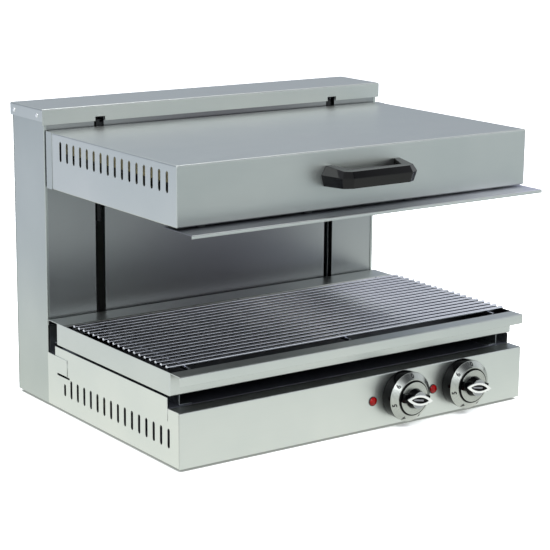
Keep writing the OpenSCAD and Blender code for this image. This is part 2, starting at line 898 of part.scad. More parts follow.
module handle() color(black) placed() {
    translate([0, hood_y, handle_axis_z]) difference() {
        intersection() {
            translate([0, 0, -handle_h]) linear_extrude(2 * handle_h) handle_plan();
            side_sheet(-handle_w, 2 * handle_w) handle_side();
        }
        for (i = [0, 1]) left_and_right() facet_space(handle_line[i + 1], handle_line[i]);
        facet_space(handle_line[3], handle_line[2]);
        left_and_right()
            rod_y(handle_half - foot_w / 2, -10, 0, 2.5, 11);
    }
}

module handle_screws() color(bright_steel) placed() {
    left_and_right() {
        rod_y(handle_half - foot_w / 2, hood_y + sheet, handle_axis_z, 4.5, 3);
        rod_y(handle_half - foot_w / 2, hood_y - 9.5, handle_axis_z, 2.45, 9.5 + sheet + 1);
    }
}

/* ---- Tray and grid ---- */

module drip_tray() color(steel) placed() {
    front = tray_y - lip_d;
    rear = trough_rear + rear_flange_d;
    rim_y = trough_rear - rear_rim_d;
    block([-half_w, tray_y, tray_bottom], [half_w, trough_rear, tray_bottom + sheet]);
    block([-half_w, tray_y, tray_bottom], [half_w, tray_y + sheet, tray_top]);
    block([-half_w, trough_rear - sheet, tray_bottom], [half_w, trough_rear, tray_top]);
    left_and_right() block([half_w - sheet, tray_y, tray_bottom],
                           [half_w, trough_rear, tray_top]);
    block([-half_w, front, tray_top - sheet], [half_w, tray_y + sheet, tray_top]);
    block([-half_w, front, tray_top - lip_h], [half_w, front + sheet, tray_top]);
    block([-half_w, rim_y, tray_top - sheet], [half_w, rear, tray_top]);
    block([-half_w, rim_y, ledge_top - ledge_h], [half_w, rim_y + sheet, tray_top]);
    block([-half_w, rear - sheet, tray_top - rear_hem_h], [half_w, rear, tray_top]);
}

module grid_ledges() color(dark_steel) placed() {
    half = half_w - sheet - 14;
    for (side = [0, 1]) {
        wall = side == 0 ? tray_y + sheet : trough_rear - rear_rim_d;
        out = side == 0 ? ledge_d : -ledge_d;
        foot = side == 0 ? ledge_t : -ledge_t;
        block([-half, min(wall, wall + out), ledge_top - ledge_t],
              [half, max(wall, wall + out), ledge_top]);
        block([-half, min(wall, wall + foot), ledge_top - ledge_h],
              [half, max(wall, wall + foot), ledge_top]);
    }
}

module grill_grid() color(bright_steel) placed() {
    for (i = [0 : rod_count - 1])
        rod_x(-rod_half_l, tray_y + rod_y + i * rod_pitch, rod_z, rod_d / 2, 2 * rod_half_l);
    for (x = [-cross_x, 0, cross_x])
        rod_y(x, tray_y + sheet + 3, cross_z, rod_d / 2, grid_bay_l - 6);
}

/* ---- Controls ---- */

regulator_half = 22;
regulator_back = 34;
spindle_bore_l = 30;
tag_l = 9;
tag_t = 0.8;
tag_low = 12;
tag_high = 5;
tag_xs = [-14, -5, 5, 14];
pilot_body_l = 26;
pilot_collar = 3;

// Regulator body behind the panel, with its tags and the bore for its spindle
module regulator() {
    half = regulator_half;
    difference() {
        union() {
            block([knob_x - half, sheet, knob_axis_z - half],
                  [knob_x + half, regulator_back, knob_axis_z + half]);
            for (x = tag_xs)
                block([knob_x + x - tag_t / 2, regulator_back - eps, knob_axis_z - tag_low],
                      [knob_x + x + tag_t / 2, regulator_back + tag_l, knob_axis_z - tag_high]);
        }
        rod_y(knob_x, 0, knob_axis_z, spindle_r + bore_gap, spindle_bore_l);
    }
}

module on_second_knob() {
    translate([knob_pitch, 0, 0]) children();
}

module regulator_left() color("#D8D4C8") placed() regulator();
module regulator_right() color("#D8D4C8") placed() on_second_knob() regulator();

module pilot_body() {
    x = knob_x - lamp_offset;
    rod_y(x, 0, lamp_axis_z, pilot_neck_r, pilot_body_l);
    rod_y(x, sheet, lamp_axis_z, pilot_neck_r + pilot_collar, pilot_collar);
}

module pilot_body_left() color("#2A2A2C") placed() pilot_body();
module pilot_body_right() color("#2A2A2C") placed() on_second_knob() pilot_body();

// Lens with a domed front
module pilot_lens() {
    translate([knob_x - lamp_offset, 0, lamp_axis_z]) rotate([90, 0, 0])
        rotate_extrude() polygon([
            [0, 0], [lamp_r, 0], [lamp_r, 1.6], [lamp_r - 1, 2.8],
            [lamp_r - 2.6, 3.6], [0, 4]
        ]);
}

module pilot_lens_left() color("#B01218") placed() pilot_lens();
module pilot_lens_right() color("#B01218") placed() on_second_knob() pilot_lens();

dial_front = knob_gap + knob_skirt_d;
dial_t = 8;
dial_gap = 2;
disc_r = knob_r - 12.3;
disc_t = 1;
disc_front = dial_front + disc_rise;
boss_r = 14.5;
cap_r = 12.2;
cap_t = 1.8;
cap_step = 0.8;
grip_half = disc_r;
grip_h_half = 7.5;
bar_h = 12.6;

// Black skirt, inner boss and grip of a knob, about its own axis along -Y
module knob() rotate([0, grip_turn, 0]) difference() {
    union() {
        rotate([90, 0, 0]) rotate_extrude() polygon([
            [0, knob_gap], [knob_r - 1.3, knob_gap], [knob_r, dial_front - dial_t],
            [disc_r + dial_gap, dial_front - dial_t],
            [disc_r + dial_gap - 0.3, disc_front - disc_t],
            [boss_r, disc_front - disc_t], [boss_r - 0.2, disc_front],
            [cap_r, knob_front - cap_t], [0, knob_front - cap_t]
        ]);
        rotate([90, 0, 0]) linear_extrude(knob_front - cap_t)
            grip_shape(grip_half, grip_h_half);
        block([-disc_r + 0.5, -disc_front - 6, -bar_h / 2],
              [disc_r - 0.5, 0, bar_h / 2]);
    }
    rod_y(0, -knob_front + 6, 0, spindle_r + 0.02, knob_front);
}

// Lens-shaped outline with pointed ends, from the overlap of two circles
module grip_shape(half_l, half_h) {
    r = (half_l * half_l + half_h * half_h) / (2 * half_h);
    intersection() {
        translate([0, r - half_h]) circle(r = r, $fn = 96);
        translate([0, half_h - r]) circle(r = r, $fn = 96);
    }
}

module at_knob(i) {
    translate([knob_x + i * knob_pitch, 0, knob_axis_z]) children();
}

module knob_left() color(black) placed() at_knob(0) knob();
module knob_right() color(black) placed() at_knob(1) knob();

// Silver ring that carries the scale
module dial() {
    rotate([90, 0, 0]) rotate_extrude() polygon([
        [disc_r + dial_gap, dial_front - dial_t], [knob_r, dial_front - dial_t],
        [knob_r - 0.4, dial_front - dial_t + 1], [disc_r + dial_gap + 1.5, dial_front],
        [disc_r + dial_gap, dial_front]
    ]);
}

module dial_left() color(bright_steel) placed() at_knob(0) dial();
module dial_right() color(bright_steel) placed() at_knob(1) dial();

// Silver disc around the grip
module knob_disc() {
    translate([0, -disc_front + disc_t, 0]) rotate([0, grip_turn, 0]) rotate([90, 0, 0])
        linear_extrude(disc_t) difference() {
            circle(r = disc_r);
            circle(r = boss_r);
            square([2 * disc_r + 2, bar_h + 0.2], center = true);
        }
}

module knob_disc_left() color(bright_steel) placed() at_knob(0) knob_disc();
module knob_disc_right() color(bright_steel) placed() at_knob(1) knob_disc();

// Bright cap on the front of the grip: a raised rim round a black window, over a disc
module knob_cap() {
    translate([0, -knob_front + cap_t, 0]) rotate([0, grip_turn, 0]) rotate([90, 0, 0])
    difference() {
        union() {
            linear_extrude(cap_t) grip_shape(grip_half, grip_h_half);
            linear_extrude(cap_t - cap_step) circle(r = cap_r);
        }
        translate([0, 0, -1]) linear_extrude(cap_t + 2)
            grip_shape(grip_half - 7.5, grip_h_half - 3);
    }
}

module knob_cap_left() color(bright_steel) placed() at_knob(0) knob_cap();
module knob_cap_right() color(bright_steel) placed() at_knob(1) knob_cap();

module spindle() {
    rod_y(0, -knob_front + 6.5, 0, spindle_r, knob_front + 20);
}

module spindle_left() color(bright_steel) placed() at_knob(0) spindle();
module spindle_right() color(bright_steel) placed() at_knob(1) spindle();

terminal_half = 30;
terminal_d = 24;
terminal_h = 22;
terminal_back = 60;
terminal_pitch = 11;
terminal_well = 10;

module terminal_block() color("#E2DED2") placed() {
    translate([gland_x, column_y - terminal_back, base_z + sheet]) difference() {
        block([-terminal_half, 0, 0], [terminal_half, terminal_d, terminal_h]);
        for (i = [-2 : 2])
            translate([i * terminal_pitch, terminal_d / 2, terminal_h - terminal_well])
                cylinder(r = 2.5, h = terminal_well + 1);
    }
}

gland_thread = 12;
gland_nut = 4;
gland_nut_h = 5;

// Cable gland in the rear cover, with its lock nut inside
module cable_gland() color("#2A2A2C") placed() {
    rear = column_back;
    difference() {
        union() {
            rod_y(gland_x, rear - sheet - gland_thread, gland_z, gland_r - 0.05,
                  gland_thread + sheet + 1);
            translate([gland_x, rear, gland_z]) rotate([-90, 0, 0])
                cylinder(r = gland_r + gland_nut, h = gland_nut_h, $fn = 6);
            rod_y(gland_x, rear + gland_nut_h - eps, gland_z, gland_r,
                  sheet + gland_reach - gland_nut_h);
            translate([gland_x, rear - sheet, gland_z]) rotate([90, 0, 0])
                cylinder(r = gland_r + gland_nut, h = gland_nut_h, $fn = 6);
        }
        rod_y(gland_x, rear - big / 2, gland_z, cable_bore_r, big);
    }
}

base_shell();
control_panel();
base_cover();
joint_plates();
rubber_feet();
tray_runner_left();
tray_runner_right();
column_side_left();
column_side_right();
splash_back();
rear_cover();
rear_cover_screws();
top_cap();
cap_rivets();
guide_rail_left();
guide_rail_right();
rail_bracket();
spring_cylinder_left();
spring_cylinder_right();
regulator_left();
regulator_right();
pilot_body_left();
pilot_body_right();
pilot_lens_left();
pilot_lens_right();
terminal_block();
cable_gland();
hood_shell();
hood_rear_panel();
reflector();
insulation_slab();
element_left();
element_right();
element_brackets();
visor();
visor_screws();
handle();
handle_screws();
lift_carriage();
carriage_bolts();
roller_upper_left();
roller_upper_right();
roller_lower_left();
roller_lower_right();
spring_rod_left();
spring_rod_right();
knob_left();
knob_right();
dial_left();
dial_right();
knob_disc_left();
knob_disc_right();
knob_cap_left();
knob_cap_right();
spindle_left();
spindle_right();
drip_tray();
grid_ledges();
grill_grid();
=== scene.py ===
"""Looks of a countertop cheese melter: stainless body, wire grid and lifting hood."""
import json
import logging
import math
from dataclasses import dataclass
from enum import Enum
from typing import Any, Callable, ClassVar, Iterable, List, Mapping, Optional, Sequence, Tuple

import bpy
import bmesh
from mathutils import Matrix, Vector
from mathutils.bvhtree import BVHTree

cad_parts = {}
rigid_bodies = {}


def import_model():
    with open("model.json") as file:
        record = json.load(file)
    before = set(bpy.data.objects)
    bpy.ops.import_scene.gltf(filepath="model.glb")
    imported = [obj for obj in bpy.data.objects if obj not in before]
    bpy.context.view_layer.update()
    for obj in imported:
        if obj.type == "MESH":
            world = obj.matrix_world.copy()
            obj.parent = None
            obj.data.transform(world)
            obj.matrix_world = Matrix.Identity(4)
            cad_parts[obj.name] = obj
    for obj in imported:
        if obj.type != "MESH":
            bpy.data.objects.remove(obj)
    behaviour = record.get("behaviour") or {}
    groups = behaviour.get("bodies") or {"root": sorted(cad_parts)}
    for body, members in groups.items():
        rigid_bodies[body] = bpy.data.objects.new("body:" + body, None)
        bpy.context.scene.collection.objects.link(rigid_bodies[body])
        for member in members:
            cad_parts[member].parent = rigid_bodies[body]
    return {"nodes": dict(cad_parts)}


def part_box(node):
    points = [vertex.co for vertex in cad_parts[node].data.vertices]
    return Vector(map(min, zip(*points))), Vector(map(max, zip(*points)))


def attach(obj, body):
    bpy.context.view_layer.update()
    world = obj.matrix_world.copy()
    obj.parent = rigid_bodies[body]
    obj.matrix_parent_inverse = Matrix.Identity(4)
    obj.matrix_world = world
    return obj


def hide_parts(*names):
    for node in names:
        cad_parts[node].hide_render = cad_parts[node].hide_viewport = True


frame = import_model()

log = logging.getLogger("melter")

Triple = Tuple[float, float, float]
Piece = bpy.types.Object
Tree = bpy.types.NodeTree
Socket = bpy.types.NodeSocket
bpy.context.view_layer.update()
MM = 0.001
SIDES = ("left", "right")
# Sockets of a Mix node that share their names with others, by number.
VECTOR_A, VECTOR_B, VECTOR_MIX = 4, 5, 1
COLOUR_A, COLOUR_B, COLOUR_MIX = 6, 7, 2


def linear(hex_colour: str) -> Tuple[float, float, float, float]:
    """Turn an sRGB colour such as "B9BDBA" into linear RGBA by the standard's curve.

    Args:
        hex_colour: six hexadecimal digits.

    Returns:
        The linear colour with an alpha of 1.
    """
    parts = [int(hex_colour[i:i + 2], 16) / 255 for i in (0, 2, 4)]
    r, g, b = [p / 12.92 if p <= 0.04045 else ((p + 0.055) / 1.055) ** 2.4 for p in parts]
    return (r, g, b, 1.0)


def per_metre(size_mm: float) -> float:
    """How many times a size in millimetres fits into a metre."""
    return 1000.0 / size_mm


def add_node(tree: Tree, kind: str, settings: Optional[Mapping[Any, Any]] = None,
             links: Optional[Mapping[Any, Socket]] = None,
             stops: Sequence[Tuple[float, Any]] = ()) -> bpy.types.Node:
    """Add one node with its settings, its links and, for a ramp, its colour stops.

    Args:
        tree: the node tree that gets the node.
        kind: the node's type, without the ShaderNode prefix.
        settings: values for sockets or properties, by name or socket number.
        links: output sockets that feed the node's inputs.
        stops: places and colours of a colour ramp.

    Returns:
        The new node.
    """
    node = tree.nodes.new("ShaderNode" + kind)
    for key, value in (settings or {}).items():
        if isinstance(key, int) or key in node.inputs:
            node.inputs[key].default_value = value
        else:
            setattr(node, key, value)
    for key, source in (links or {}).items():
        tree.links.new(source, node.inputs[key])
    for i, (place, colour) in enumerate(stops):
        ramp = node.color_ramp.elements
        stop = ramp[i] if i < len(ramp) else ramp.new(place)
        stop.position = place
        stop.color = colour
    return node


def zone(tree: Tree, under: Socket, colour: str, *edges: Tuple[Socket, float, float]) -> Socket:
    """Lay a colour over the part of a surface or a room between soft edges.

    Args:
        tree: the node tree.
        under: the colour that shows elsewhere.
        colour: the sRGB colour laid over it.
        *edges: for each edge a coordinate, where the colour begins and where it is full.

    Returns:
        The two colours together.
    """
    share = None
    for place, begins, full in edges:
        edge = add_node(tree, "MapRange", {"From Min": begins, "From Max": full},
                        {"Value": place}).outputs[0]
        share = edge if share is None else add_node(
            tree, "Math", {"operation": "MULTIPLY"}, {0: share, 1: edge}).outputs[0]
    return add_node(tree, "Mix", {"data_type": "RGBA", COLOUR_B: linear(colour)},
                    {"Factor": share, COLOUR_A: under}).outputs[COLOUR_MIX]


class Grain(Enum):
    """Direction in which a sheet was brushed: on most faces, and on faces towards X."""

    ALONG_X = ((0.02, 1.0, 1.0), (1.0, 0.02, 1.0))
    ALONG_Y = ((1.0, 0.02, 1.0), (1.0, 0.02, 1.0))
    ALONG_Z = ((1.0, 1.0, 0.02), (1.0, 1.0, 0.02))
    NONE = ((1.0, 1.0, 1.0), (1.0, 1.0, 1.0))


@dataclass(frozen=True)
class Finish:
    """A finish in common terms: its colours, its roughness and its fine relief.

    Attributes:
        name: plain name of the material and of how its surface was made.
        colour: main sRGB colour.
        second: sRGB colour that the main one drifts to.
        metallic: 1 for bare metal.
        rough: lowest and highest roughness.
        pattern_mm: size of the fine pattern across the grain, in millimetres.
        grain: direction of the fine pattern.
        relief: strength of the bump.
        relief_mm: height of the bump, in millimetres.
        cloud_mm: size of the slow drift between the two colours.
        coat: strength of a clear coat.
        coat_rough: roughness of the clear coat.
        ior: refractive index of a plastic; None keeps the default.
        streak: how much the fine pattern changes the colour, as a share.
        fine_share: how much of the change in roughness follows the fine pattern.
    """

    name: str
    colour: str
    second: str
    metallic: float = 0.0
    rough: Tuple[float, float] = (0.3, 0.4)
    pattern_mm: float = 1.0
    grain: Grain = Grain.NONE
    relief: float = 0.1
    relief_mm: float = 0.03
    cloud_mm: float = 12.0
    coat: float = 0.0
    coat_rough: float = 0.08
    ior: Optional[float] = None
    streak: float = 0.03
    fine_share: float = 0.65

    def material(self) -> bpy.types.Material:
        """Build the material once and give it back on later calls.

        Returns:
            The material.
        """
        made = bpy.data.materials.get(self.name)
        if made is None:
            made = bpy.data.materials.new(self.name)
            made.use_nodes = True
            self._fill(made.node_tree)
        return made

    def _pattern(self, tree: Tree) -> Socket:
        """Fine pattern, stretched along the grain.

        Args:
            tree: the material's node tree.

        Returns:
            A value from 0 to 1.
        """
        spot = add_node(tree, "TexCoord").outputs["Object"]
        facing = add_node(tree, "SeparateXYZ", None,
                          {0: add_node(tree, "NewGeometry").outputs["True Normal"]})
        sideways = add_node(tree, "Math", {"operation": "ABSOLUTE"}, {0: facing.outputs["X"]})
        on_x = add_node(tree, "Math", {"operation": "ROUND"}, {0: sideways.outputs[0]})
        usual, on_side = ([per_metre(self.pattern_mm) * s for s in scale]
                          for scale in self.grain.value)
        scale = add_node(tree, "Mix", {"data_type": "VECTOR", VECTOR_A: usual, VECTOR_B: on_side},
                         {"Factor": on_x.outputs[0]})
        mapped = add_node(tree, "VectorMath", {"operation": "MULTIPLY"},
                          {0: spot, 1: scale.outputs[VECTOR_MIX]})
        return add_node(tree, "TexNoise", {"Scale": 1.0, "Detail": 5.0, "Roughness": 0.62},
                        {"Vector": mapped.outputs[0]}).outputs["Fac"]

    def _colour(self, tree: Tree, cloud: Socket) -> Socket:
        """Main colour, which drifts slowly to the second one.

        Args:
            tree: the material's node tree.
            cloud: a slow noise.

        Returns:
            The colour.
        """
        tint = add_node(tree, "MapRange", {"From Min": 0.3, "From Max": 0.7}, {"Value": cloud})
        return add_node(tree, "Mix", {"data_type": "RGBA", COLOUR_A: linear(self.colour),
                                      COLOUR_B: linear(self.second)},
                        {"Factor": tint.outputs[0]}).outputs[COLOUR_MIX]

    def _fill(self, tree: Tree) -> None:
        """Build the finish around the shader.

        Args:
            tree: the material's new node tree.
        """
        shader = tree.nodes["Principled BSDF"]
        shader.inputs["Metallic"].default_value = self.metallic
        if self.ior:
            shader.inputs["IOR"].default_value = self.ior
        if self.coat:
            shader.inputs["Coat Weight"].default_value = self.coat
            shader.inputs["Coat Roughness"].default_value = self.coat_rough
        fine = self._pattern(tree)
        spot = add_node(tree, "TexCoord").outputs["Object"]
        cloud = add_node(tree, "TexNoise", {"Scale": per_metre(self.cloud_mm), "Detail": 3.0},
                         {"Vector": spot}).outputs["Fac"]
        streak = add_node(tree, "MapRange", {"From Min": 0.25, "From Max": 0.75,
                                             "To Min": 1.0 - self.streak,
                                             "To Max": 1.0 + self.streak}, {"Value": fine})
        shaded = add_node(tree, "Mix", {"data_type": "RGBA", "blend_type": "MULTIPLY",
                                        "Factor": 1.0},
                          {COLOUR_A: self._colour(tree, cloud), COLOUR_B: streak.outputs[0]})
        mixed = add_node(tree, "Math", {"operation": "MULTIPLY_ADD", 1: self.fine_share},
                         {0: fine})
        share = add_node(tree, "Math", {"operation": "MULTIPLY", 1: 1.0 - self.fine_share},
                         {0: cloud})
        tree.links.new(share.outputs[0], mixed.inputs[2])
        rough = add_node(tree, "MapRange", {"From Min": 0.3, "From Max": 0.7,
                                            "To Min": self.rough[0], "To Max": self.rough[1]},
                         {"Value": mixed.outputs[0]})
        bump = add_node(tree, "Bump", {"Strength": self.relief, "Distance": self.relief_mm * MM},
                        {"Height": fine})
        for source, name in ((shaded.outputs[COLOUR_MIX], "Base Color"),
                             (rough.outputs[0], "Roughness"), (bump.outputs[0], "Normal")):
            tree.links.new(source, shader.inputs[name])


@dataclass(frozen=True)
class BrushedSteel(Finish):
    """Stainless sheet, satin brushed: long fine scratches that blur a reflection along them.

    The scratches are about 0.1 mm wide and are drawn 1 mm wide so that they show.
    """

    metallic: float = 1.0
    rough: Tuple[float, float] = (0.32, 0.4)
    pattern_mm: float = 1.1
    relief: float = 0.03
    cloud_mm: float = 160.0
    streak: float = 0.012


@dataclass(frozen=True)
class HeatTinted(BrushedSteel):
    """Brushed sheet with painted shade across the middle of its width.

    Attributes:
        middle: sRGB colour of the painted shade half-way between the sheet's ends.
        half: distance from the middle to an end, in metres.
        both_ends: whether both ends stay plain, or only the one towards +X.
    """

    cloud_mm: float = 220.0
    middle: str = "7E7E83"
    half: float = 0.3
    both_ends: bool = True

    def _colour(self, tree: Tree, cloud: Socket) -> Socket:
        """Plain sheet at the ends, painted shade in the middle.

        Args:
            tree: the material's node tree.
            cloud: a slow noise.

        Returns:
            The colour.
        """
        spot = add_node(tree, "TexCoord").outputs["Object"]
        away = add_node(tree, "SeparateXYZ", None, {0: spot}).outputs["X"]
        if self.both_ends:
            away = add_node(tree, "Math", {"operation": "ABSOLUTE"}, {0: away}).outputs[0]
        share = add_node(tree, "MapRange", {"interpolation_type": "SMOOTHSTEP", "From Min": 0.0,
                                            "From Max": self.half}, {"Value": away})
        return add_node(tree, "Mix", {"data_type": "RGBA", COLOUR_A: linear(self.middle)},
                        {"Factor": share.outputs[0],
                         COLOUR_B: super()._colour(tree, cloud)}).outputs[COLOUR_MIX]


@dataclass(frozen=True)
class SpunFoil(Finish):
    """Aluminium foil of a dial, turned on a lathe and anodised: fine silver rings.

    The rings are about 0.2 mm wide and are drawn 0.7 mm wide so that they show.

    Attributes:
        centre: a point on the knob's axis, which runs along Y.
        rings: how many bright or dark rings a texture of scale 1 has in a metre.
    """

    metallic: float = 1.0
    rough: Tuple[float, float] = (0.24, 0.34)
    pattern_mm: float = 0.7
    relief: float = 0.08
    relief_mm: float = 0.02
    cloud_mm: float = 25.0
    centre: Triple = (0.0, 0.0, 0.0)
    rings: float = 6.28

    def _pattern(self, tree: Tree) -> Socket:
        """Rings around the axis, as the turning tool leaves them.

        Args:
            tree: the material's node tree.

        Returns:
            A value from 0 to 1.
        """
        spot = add_node(tree, "TexCoord").outputs["Object"]
        place = add_node(tree, "Mapping", {"Location": [-c for c in self.centre]}, {"Vector": spot})
        return add_node(tree, "TexWave", {"wave_type": "RINGS", "rings_direction": "Y",
                                          "Scale": per_metre(self.pattern_mm) / self.rings,
                                          "Distortion": 0.6, "Detail": 2.0},
                        {"Vector": place.outputs[0]}).outputs["Fac"]


@dataclass(frozen=True)
class FibreSlab(Finish):
    """Mineral wool: tangled fibres in a soft yellow slab.

    Attributes:
        tangle: how far the fibres stray, in metres.
    """

    tangle: float = 12.0 * MM

    def _pattern(self, tree: Tree) -> Socket:
        """Tangled cells in place of an even grain.

        Args:
            tree: the material's node tree.

        Returns:
            A value from 0 to 1.
        """
        spot = add_node(tree, "TexCoord").outputs["Object"]
        bent = add_node(tree, "TexNoise", {"Scale": 180.0, "Detail": 4.0}, {"Vector": spot})
        moved = add_node(tree, "VectorMath", {"operation": "MULTIPLY_ADD", 1: (self.tangle,) * 3},
                         {0: bent.outputs["Color"], 2: spot})
        return add_node(tree, "TexVoronoi", {"Scale": per_metre(self.pattern_mm),
                                             "feature": "DISTANCE_TO_EDGE"},
                        {"Vector": moved.outputs[0]}).outputs[0]


# Brushed stainless sheet, by the direction of its scratches: a soft grey sheen.
# Their colours differ as painted light: the copy along Y is lighter, the copy along Z darker.
STAINLESS_X = BrushedSteel("stainless_brushed_along_x", "CDD1CE", "C3C9C7", grain=Grain.ALONG_X)
STAINLESS_Y = BrushedSteel("stainless_brushed_along_y", "DADDD8", "D0D5D2", grain=Grain.ALONG_Y)
STAINLESS_Z = BrushedSteel("stainless_brushed_along_z", "BCC2BF", "B2B9B7", grain=Grain.ALONG_Z)
# Splash back: the same sheet with painted shade, a little darker all over and darkest in the
# middle.
STAINLESS_SPLASH_PAINTED_SHADE = HeatTinted("stainless_painted_shade_splash", "A6AAAB", "9A9EA0", rough=(0.3, 0.38),
                              grain=Grain.ALONG_Z)
# Visor: the same sheet with painted shade over the middle and the -X half, and a pale lavender
# painted highlight towards the +X end.
STAINLESS_VISOR_PAINTED_SHADE = HeatTinted("stainless_painted_shade_visor", "E6E6F0", "DCDCE8", grain=Grain.ALONG_X,
                             middle="74767E", both_ends=False)
# Painted shade: the same steel, darker and rougher, inside and under the drip tray and on the
# grid's lower cross wires.
STAINLESS_PAINTED_SHADE = Finish("stainless_painted_shade_dark", "343639", "2A2C2F", metallic=1.0,
                           rough=(0.3, 0.45), pattern_mm=1.5, grain=Grain.ALONG_X, relief=0.08,
                           cloud_mm=60.0, streak=0.05)
# Deck under the tray: zinc with a blue passivation, dulled by heat.
ZINC_BLUE = Finish("zinc_blue_passivated", "8E919E", "7E818D", metallic=0.9, rough=(0.34, 0.44),
                   pattern_mm=1.4, relief=0.08, cloud_mm=40.0, streak=0.02)
# Zinc-plated sheet: cool grey with pale crystals a few millimetres wide.
ZINC = Finish("zinc_plated_sheet", "8D9498", "A3A8AA", metallic=1.0, rough=(0.34, 0.5),
              pattern_mm=4.0, relief_mm=0.02, cloud_mm=9.0)
# Aluminised sheet of the reflector: bright and slightly mottled.
ALUMINISED = Finish("aluminised_sheet", "C9C9C4", "B6B2A8", metallic=1.0, rough=(0.18, 0.34),
                    pattern_mm=3.0, relief=0.08, relief_mm=0.02, cloud_mm=70.0)
# Nickel-plated wire: clear highlights, with faint marks from cleaning.
NICKEL_WIRE = Finish("nickel_plated_wire", "DEE0E8", "D0D3DC", metallic=1.0, rough=(0.13, 0.18),
                     pattern_mm=2.0, relief=0.02, relief_mm=0.02, cloud_mm=60.0, streak=0.01)
# Manganese phosphate on the lift carriage: charcoal crystals, dull with oil.
PHOSPHATE = Finish("manganese_phosphate", "232527", "2E3032", metallic=0.4, rough=(0.5, 0.62),
                   pattern_mm=1.5, relief=0.15, relief_mm=0.02)
# Aluminium of the blind rivets: pale, with a soft shine on the domes.
RIVET_METAL = Finish("aluminium_rivet", "F0F1F3", "E2E4E6", metallic=1.0, rough=(0.26, 0.36),
                     pattern_mm=0.8, relief=0.08, relief_mm=0.02, cloud_mm=6.0)
# Bright zinc screws and bolts: small parts with tumbled edges.
BRIGHT_STEEL = Finish("bright_zinc_steel", "C9CCCF", "B2B5B8", metallic=1.0, rough=(0.2, 0.32),
                      pattern_mm=0.8, relief=0.12, relief_mm=0.02, cloud_mm=6.0)
# Chrome-plated ABS of the knob's cap: mirror-like, with a trace of handling.
CHROME_CAP = Finish("chrome_plated_abs", "F0F1F2", "E2E4E6", metallic=1.0, rough=(0.12, 0.2),
                    pattern_mm=1.5, relief=0.03, relief_mm=0.01)
# The same plating on the cap's sunken hub, left satin by the mould; its darker grey is painted
# shade in the recess.
CHROME_SATIN_SHADED = Finish("chrome_satin_painted_shade", "A2A5A8", "8F9296", metallic=1.0, rough=(0.28, 0.36),
                      pattern_mm=0.8, relief=0.06, relief_mm=0.01)
# Polished phenolic of the handle: black, and it mirrors the room on its facets.
PHENOLIC_POLISHED = Finish("phenolic_polished", "020203", "040406", rough=(0.06, 0.12),
                           pattern_mm=1.2, relief=0.02, relief_mm=0.02, cloud_mm=20.0, ior=1.36)
# Phenolic moulding of the knobs: deep black, with a light orange peel.
PHENOLIC = Finish("phenolic_gloss_moulded", "030304", "050507", rough=(0.1, 0.18),
                  pattern_mm=1.6, relief=0.03, cloud_mm=20.0, ior=1.2)
# Polyamide moulding of glands and lamp bodies: black and semi-matte.
POLYAMIDE_BLACK = Finish("polyamide_black", "17181A", "202124", rough=(0.4, 0.52),
                         pattern_mm=0.6, relief=0.15, ior=1.53)
# Natural polyamide of the rollers: milky and waxy.
POLYAMIDE_NATURAL = Finish("polyamide_natural", "DDD9CB", "CFC9B6", rough=(0.36, 0.48),
                           cloud_mm=10.0, ior=1.53)
# Melamine moulding of regulators and terminals: cream, dull.
MELAMINE = Finish("melamine_cream", "D9D2BD", "CBC3AB", rough=(0.42, 0.56), pattern_mm=0.8,
                  relief=0.12, cloud_mm=14.0, ior=1.6)
# Nitrile rubber feet: matte, dusty black.
RUBBER = Finish("nitrile_rubber", "1A1A1A", "262625", rough=(0.7, 0.85), pattern_mm=0.7,
                relief=0.25, relief_mm=0.05, cloud_mm=10.0, ior=1.52)
# Polycarbonate lens of a pilot lamp: clear red over a dark body.
LENS_RED = Finish("polycarbonate_red", "B00206", "860104", rough=(0.12, 0.2), relief=0.05,
                  relief_mm=0.02, cloud_mm=5.0, ior=1.35)
# Sheathed heating tube: nickel alloy, browned by heat.
SHEATH = Finish("nickel_alloy_oxidised", "55493F", "3A332E", metallic=0.85, rough=(0.42, 0.6),
                pattern_mm=1.2, relief=0.2, relief_mm=0.04, cloud_mm=18.0)
# Stove enamel on the gas springs: satin black paint.
SPRING_PAINT = Finish("stove_enamel_black", "111214", "1A1B1E", rough=(0.28, 0.4), relief=0.08,
                      cloud_mm=25.0, coat=0.2, ior=1.5)
# Steatite beads on the heater ends: white, dense, slightly glossy.
STEATITE = Finish("steatite_white", "E6E2D6", "D5CFBE", rough=(0.3, 0.44), pattern_mm=0.9,
                  relief=0.12, cloud_mm=6.0, ior=1.6)
# Printing ink of the scale: black, flat.
INK_BLACK = Finish("screen_ink_black", "101012", "18181A", rough=(0.4, 0.5), pattern_mm=0.5,
                   relief_mm=0.01, cloud_mm=4.0, ior=1.5)
# Lacquer of the pointer bar: mid grey, slightly glossy.
LACQUER_GREY = Finish("pointer_lacquer_grey", "85878A", "7A7C80", rough=(0.25, 0.35),
                      pattern_mm=0.5, relief_mm=0.01, cloud_mm=4.0, ior=1.5)
# Mineral wool slab over the reflector: dull yellow fibres.
MINERAL_WOOL = FibreSlab("mineral_wool", "CDB76C", "B69C50", rough=(0.85, 0.95), pattern_mm=2.5,
                         relief=0.6, relief_mm=0.8, cloud_mm=30.0, ior=1.45)


def deselect() -> None:
    """Clear the selection, so that an operator acts on nothing else."""
    for thing in bpy.context.view_layer.objects.selected[:]:
        if thing:
            thing.select_set(False)


def take(piece: Piece) -> None:
    """Make a piece the only selected and active one.

    Args:
        piece: the piece.
    """
    deselect()
    piece.select_set(True)
    bpy.context.view_layer.objects.active = piece


def edit(piece: Piece, action: Callable[[], Any]) -> None:
    """Run an action in edit mode on a piece with all of it selected.

    Args:
        piece: the piece.
        action: calls the edit-mode operators.
    """
    take(piece)
    bpy.ops.object.mode_set(mode="EDIT")
    bpy.ops.mesh.select_all(action="SELECT")
    action()
    bpy.ops.object.mode_set(mode="OBJECT")


